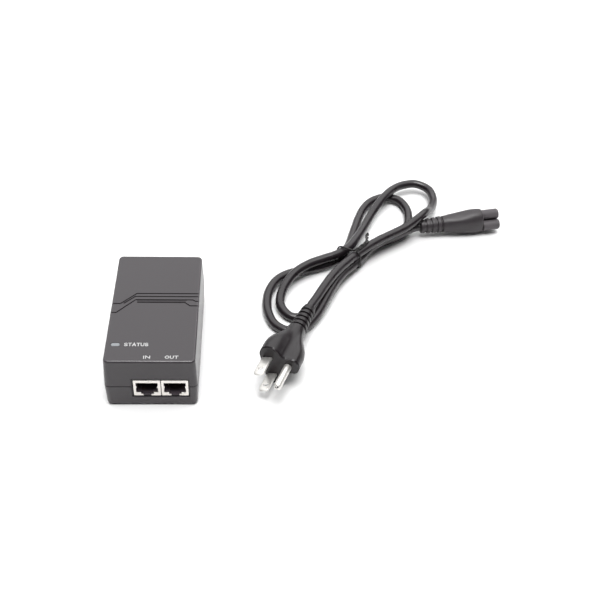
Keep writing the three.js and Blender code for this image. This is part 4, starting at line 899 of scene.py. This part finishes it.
# ------------------------------------------------------------------ inlet
inl = box("inlet_body", -IW / 2, IW / 2, 44.6, IY1, IZ0, IZ1, "socket_plastic")
boolean(inl, [box("h", -10.5, 10.5, 28, 45.4, 7.9, IZ1)], "UNION")
mouth = [(IY1 - IDEPTH, LOBE_R + 0.55), (IY1 - 0.8, LOBE_R + 0.55), (IY1 + 0.2, LOBE_R + 1.25)]
sock = skin("h", [[(x, q, z + ICZ) for x, z in clover(r)] for q, r in mouth])
boolean(inl, [sock], smooth=35)
bevel(inl, 0.2, 2, 60, 35)
finish_piece(inl, "brick", ["inlet_housing"])
for k, (x, z) in {"line": (-LOBE_X, LOBE_UP), "neutral": (LOBE_X, LOBE_UP), "earth": (0, LOBE_DOWN)}.items():
    y0, y1 = IY1 - IDEPTH + GAP, IY1 - (2.2 if k == "earth" else 3.2)
    prof = [(1.2, y0), (1.2, y1 - 1.0), (1.12, y1 - 0.7), (0.92, y1 - 0.35), (0.55, y1 - 0.1), (0.05, y1)]
    ob = lathe("pin_" + k, prof, (x, 0, z + ICZ), "y", 28, "pin_nickel")
    finish_piece(ob, "brick", ["inlet_pin_" + k])

# ------------------------------------------------------------------ printed words on the lid
def arc(cx, cy, rx, ry, a0, a1, n=14):
    return [(cx + rx * math.cos(math.radians(a0 + (a1 - a0) * i / n)), cy + ry * math.sin(math.radians(a0 + (a1 - a0) * i / n))) for i in range(n + 1)]


LETTERS = {   # width, strokes in a cell of height 1
    "P": (0.92, [[(0, 0), (0, 1)], [(0, 1), (0.62, 1)] + arc(0.62, 0.735, 0.30, 0.265, 80, -80) + [(0.62, 0.47), (0, 0.47)]]),
    "O": (1.12, [arc(0.56, 0.5, 0.56, 0.5, 90, 270), arc(0.56, 0.5, 0.56, 0.5, -90, 90)]),
    "W": (1.50, [[(0, 1), (0.38, 0), (0.75, 1), (1.12, 0), (1.5, 1)]]),
    "E": (0.86, [[(0.86, 1), (0, 1), (0, 0), (0.86, 0)], [(0, 0.52), (0.76, 0.52)]]),
    "R": (0.96, [[(0, 0), (0, 1)], [(0, 1), (0.64, 1)] + arc(0.64, 0.735, 0.28, 0.265, 80, -80) + [(0.64, 0.47), (0, 0.47)], [(0.48, 0.47), (0.96, 0)]]),
    "L": (0.80, [[(0, 1), (0, 0), (0.8, 0)]]),
    "A": (1.06, [[(0, 0), (0.53, 1), (1.06, 0)], [(0.2, 0.31), (0.86, 0.31)]]),
    "N": (0.98, [[(0, 0), (0, 1), (0.98, 0), (0.98, 1)]]),
    "S": (0.94, [arc(0.47, 0.735, 0.44, 0.265, 35, 270, 18) + arc(0.47, 0.265, 0.47, 0.265, 90, -150, 18)[1:]]),
    "T": (0.96, [[(0, 1), (0.96, 1)], [(0.48, 1), (0.48, 0)]]),
    "U": (0.98, [[(0, 1), (0, 0.40)] + arc(0.49, 0.36, 0.49, 0.36, 180, 360, 16) + [(0.98, 0.40), (0.98, 1)]]),
    "I": (0.12, [[(0.06, 0), (0.06, 1)]]),
}


def words(name, text, x0, x1, y0, y1, pen=0.52):
    """Generic function words in plain strokes of even width, 0.02 mm proud of the lid."""
    gap = 0.42
    run = sum(LETTERS[c][0] for c in text) + gap * (len(text) - 1)
    kx, ky = (x1 - x0 - pen) / run, y1 - y0 - pen
    at, made = x0 + pen / 2, []
    for c in text:
        wd, strokes = LETTERS[c]
        for st in strokes:
            line = [(at + x * kx, y0 + pen / 2 + y * ky) for x, y in st]
            (ax, ay), (bx, by) = line[0], line[1]
            d = math.hypot(ax - bx, ay - by)
            line[0] = (ax + (ax - bx) / d * pen / 2, ay + (ay - by) / d * pen / 2)
            (ax, ay), (bx, by) = line[-1], line[-2]
            d = math.hypot(ax - bx, ay - by)
            line[-1] = (ax + (ax - bx) / d * pen / 2, ay + (ay - by) / d * pen / 2)
            made.append(prism("t", strip(line, pen), H + 0.004, H + 0.024))
        at += (wd + gap) * kx
    ob = boolean(made[0], made[1:], "UNION", 30)
    ob.name = name
    ob.data.materials.clear()
    ob.data.materials.append(MAT["print_white"])
    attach(ob, "brick")
    return ob


words("print_status", "STATUS", -15.45, -1.32, -34.90, -32.10)
words("print_in", "IN", -3.60, 0.50, -45.05, -42.60)
words("print_out", "OUT", 8.90, 16.70, -45.05, -42.60)

# ------------------------------------------------------------------ carried-over CAD pieces get their own finish
slot_of = {s["node"]: s["material_slot"] for s in frame["record"]["subparts"]}
for node, ob in frame["nodes"].items():
    mt = MAT[slot_of.get(node, "epoxy_package")]
    if not ob.data.materials:
        ob.data.materials.append(mt)
    for i in range(len(ob.material_slots)):
        ob.material_slots[i].material = mt

# ------------------------------------------------------------------ floor and light
fl = bpy.data.meshes.new("floor")
R = 6.0
fl.from_pydata([(-R, -R, 0), (R, -R, 0), (R, R, 0), (-R, R, 0)], [], [(0, 1, 2, 3)])
floor = bpy.data.objects.new("floor", fl)
bpy.context.collection.objects.link(floor)
fm = bpy.data.materials.new("floor_white")
fm.use_nodes = True
fb = fm.node_tree.nodes["Principled BSDF"]
fb.inputs["Base Color"].default_value = (0.93, 0.93, 0.93, 1)
fb.inputs["Roughness"].default_value = 0.9
fb.inputs["Specular IOR Level"].default_value = 0.1
fl.materials.append(fm)
floor.location.z = -0.0002

# plain white backdrop round the stage: it closes the horizon and gives no light of its own to the object
bd = bpy.data.meshes.new("backdrop")
NB, RB, HB = 96, 5.8, 7.0
ring_b = [(RB * math.cos(2 * math.pi * i / NB), RB * math.sin(2 * math.pi * i / NB)) for i in range(NB)]
bd.from_pydata([(x, y, -0.01) for x, y in ring_b] + [(x, y, HB) for x, y in ring_b], [], [(i, i + NB, (i + 1) % NB + NB, (i + 1) % NB) for i in range(NB)])
backdrop = bpy.data.objects.new("backdrop", bd)
bpy.context.collection.objects.link(backdrop)
bm_ = bpy.data.materials.new("backdrop_white")
bm_.use_nodes = True
bb = bm_.node_tree.nodes["Principled BSDF"]
bb.inputs["Base Color"].default_value = (0.9, 0.9, 0.9, 1)
bb.inputs["Emission Color"].default_value = (1, 1, 1, 1)
bb.inputs["Emission Strength"].default_value = 1.0
bd.materials.append(bm_)
backdrop.visible_diffuse = backdrop.visible_glossy = backdrop.visible_transmission = backdrop.visible_shadow = False

fd = bpy.data.lights.new("ceiling", "SUN")
fd.energy = FILL
fd.angle = math.radians(FILL_ANGLE)
ceiling = bpy.data.objects.new("ceiling", fd)
bpy.context.collection.objects.link(ceiling)
ceiling.rotation_euler = (V((0, 0, 0)) - V(FILL_FROM)).to_track_quat("-Z", "Y").to_euler()

world = bpy.data.worlds.new("studio")
bpy.context.scene.world = world
world.use_nodes = True
bg = world.node_tree.nodes["Background"]
bg.inputs["Color"].default_value = (1, 1, 1, 1)
bg.inputs["Strength"].default_value = SKY


sd = bpy.data.lights.new("key", "SUN")
sd.energy = SUN
sd.angle = math.radians(SUN_ANGLE)
sun = bpy.data.objects.new("key", sd)
bpy.context.collection.objects.link(sun)
sun.rotation_euler = (V((0, 0, 0)) - V(SUN_FROM)).to_track_quat("-Z", "Y").to_euler()

sc_ = bpy.context.scene
sc_.view_settings.view_transform = "Standard"
sc_.view_settings.look = "None"
sc_.view_settings.exposure = 0.0
sc_.view_settings.gamma = 1.0
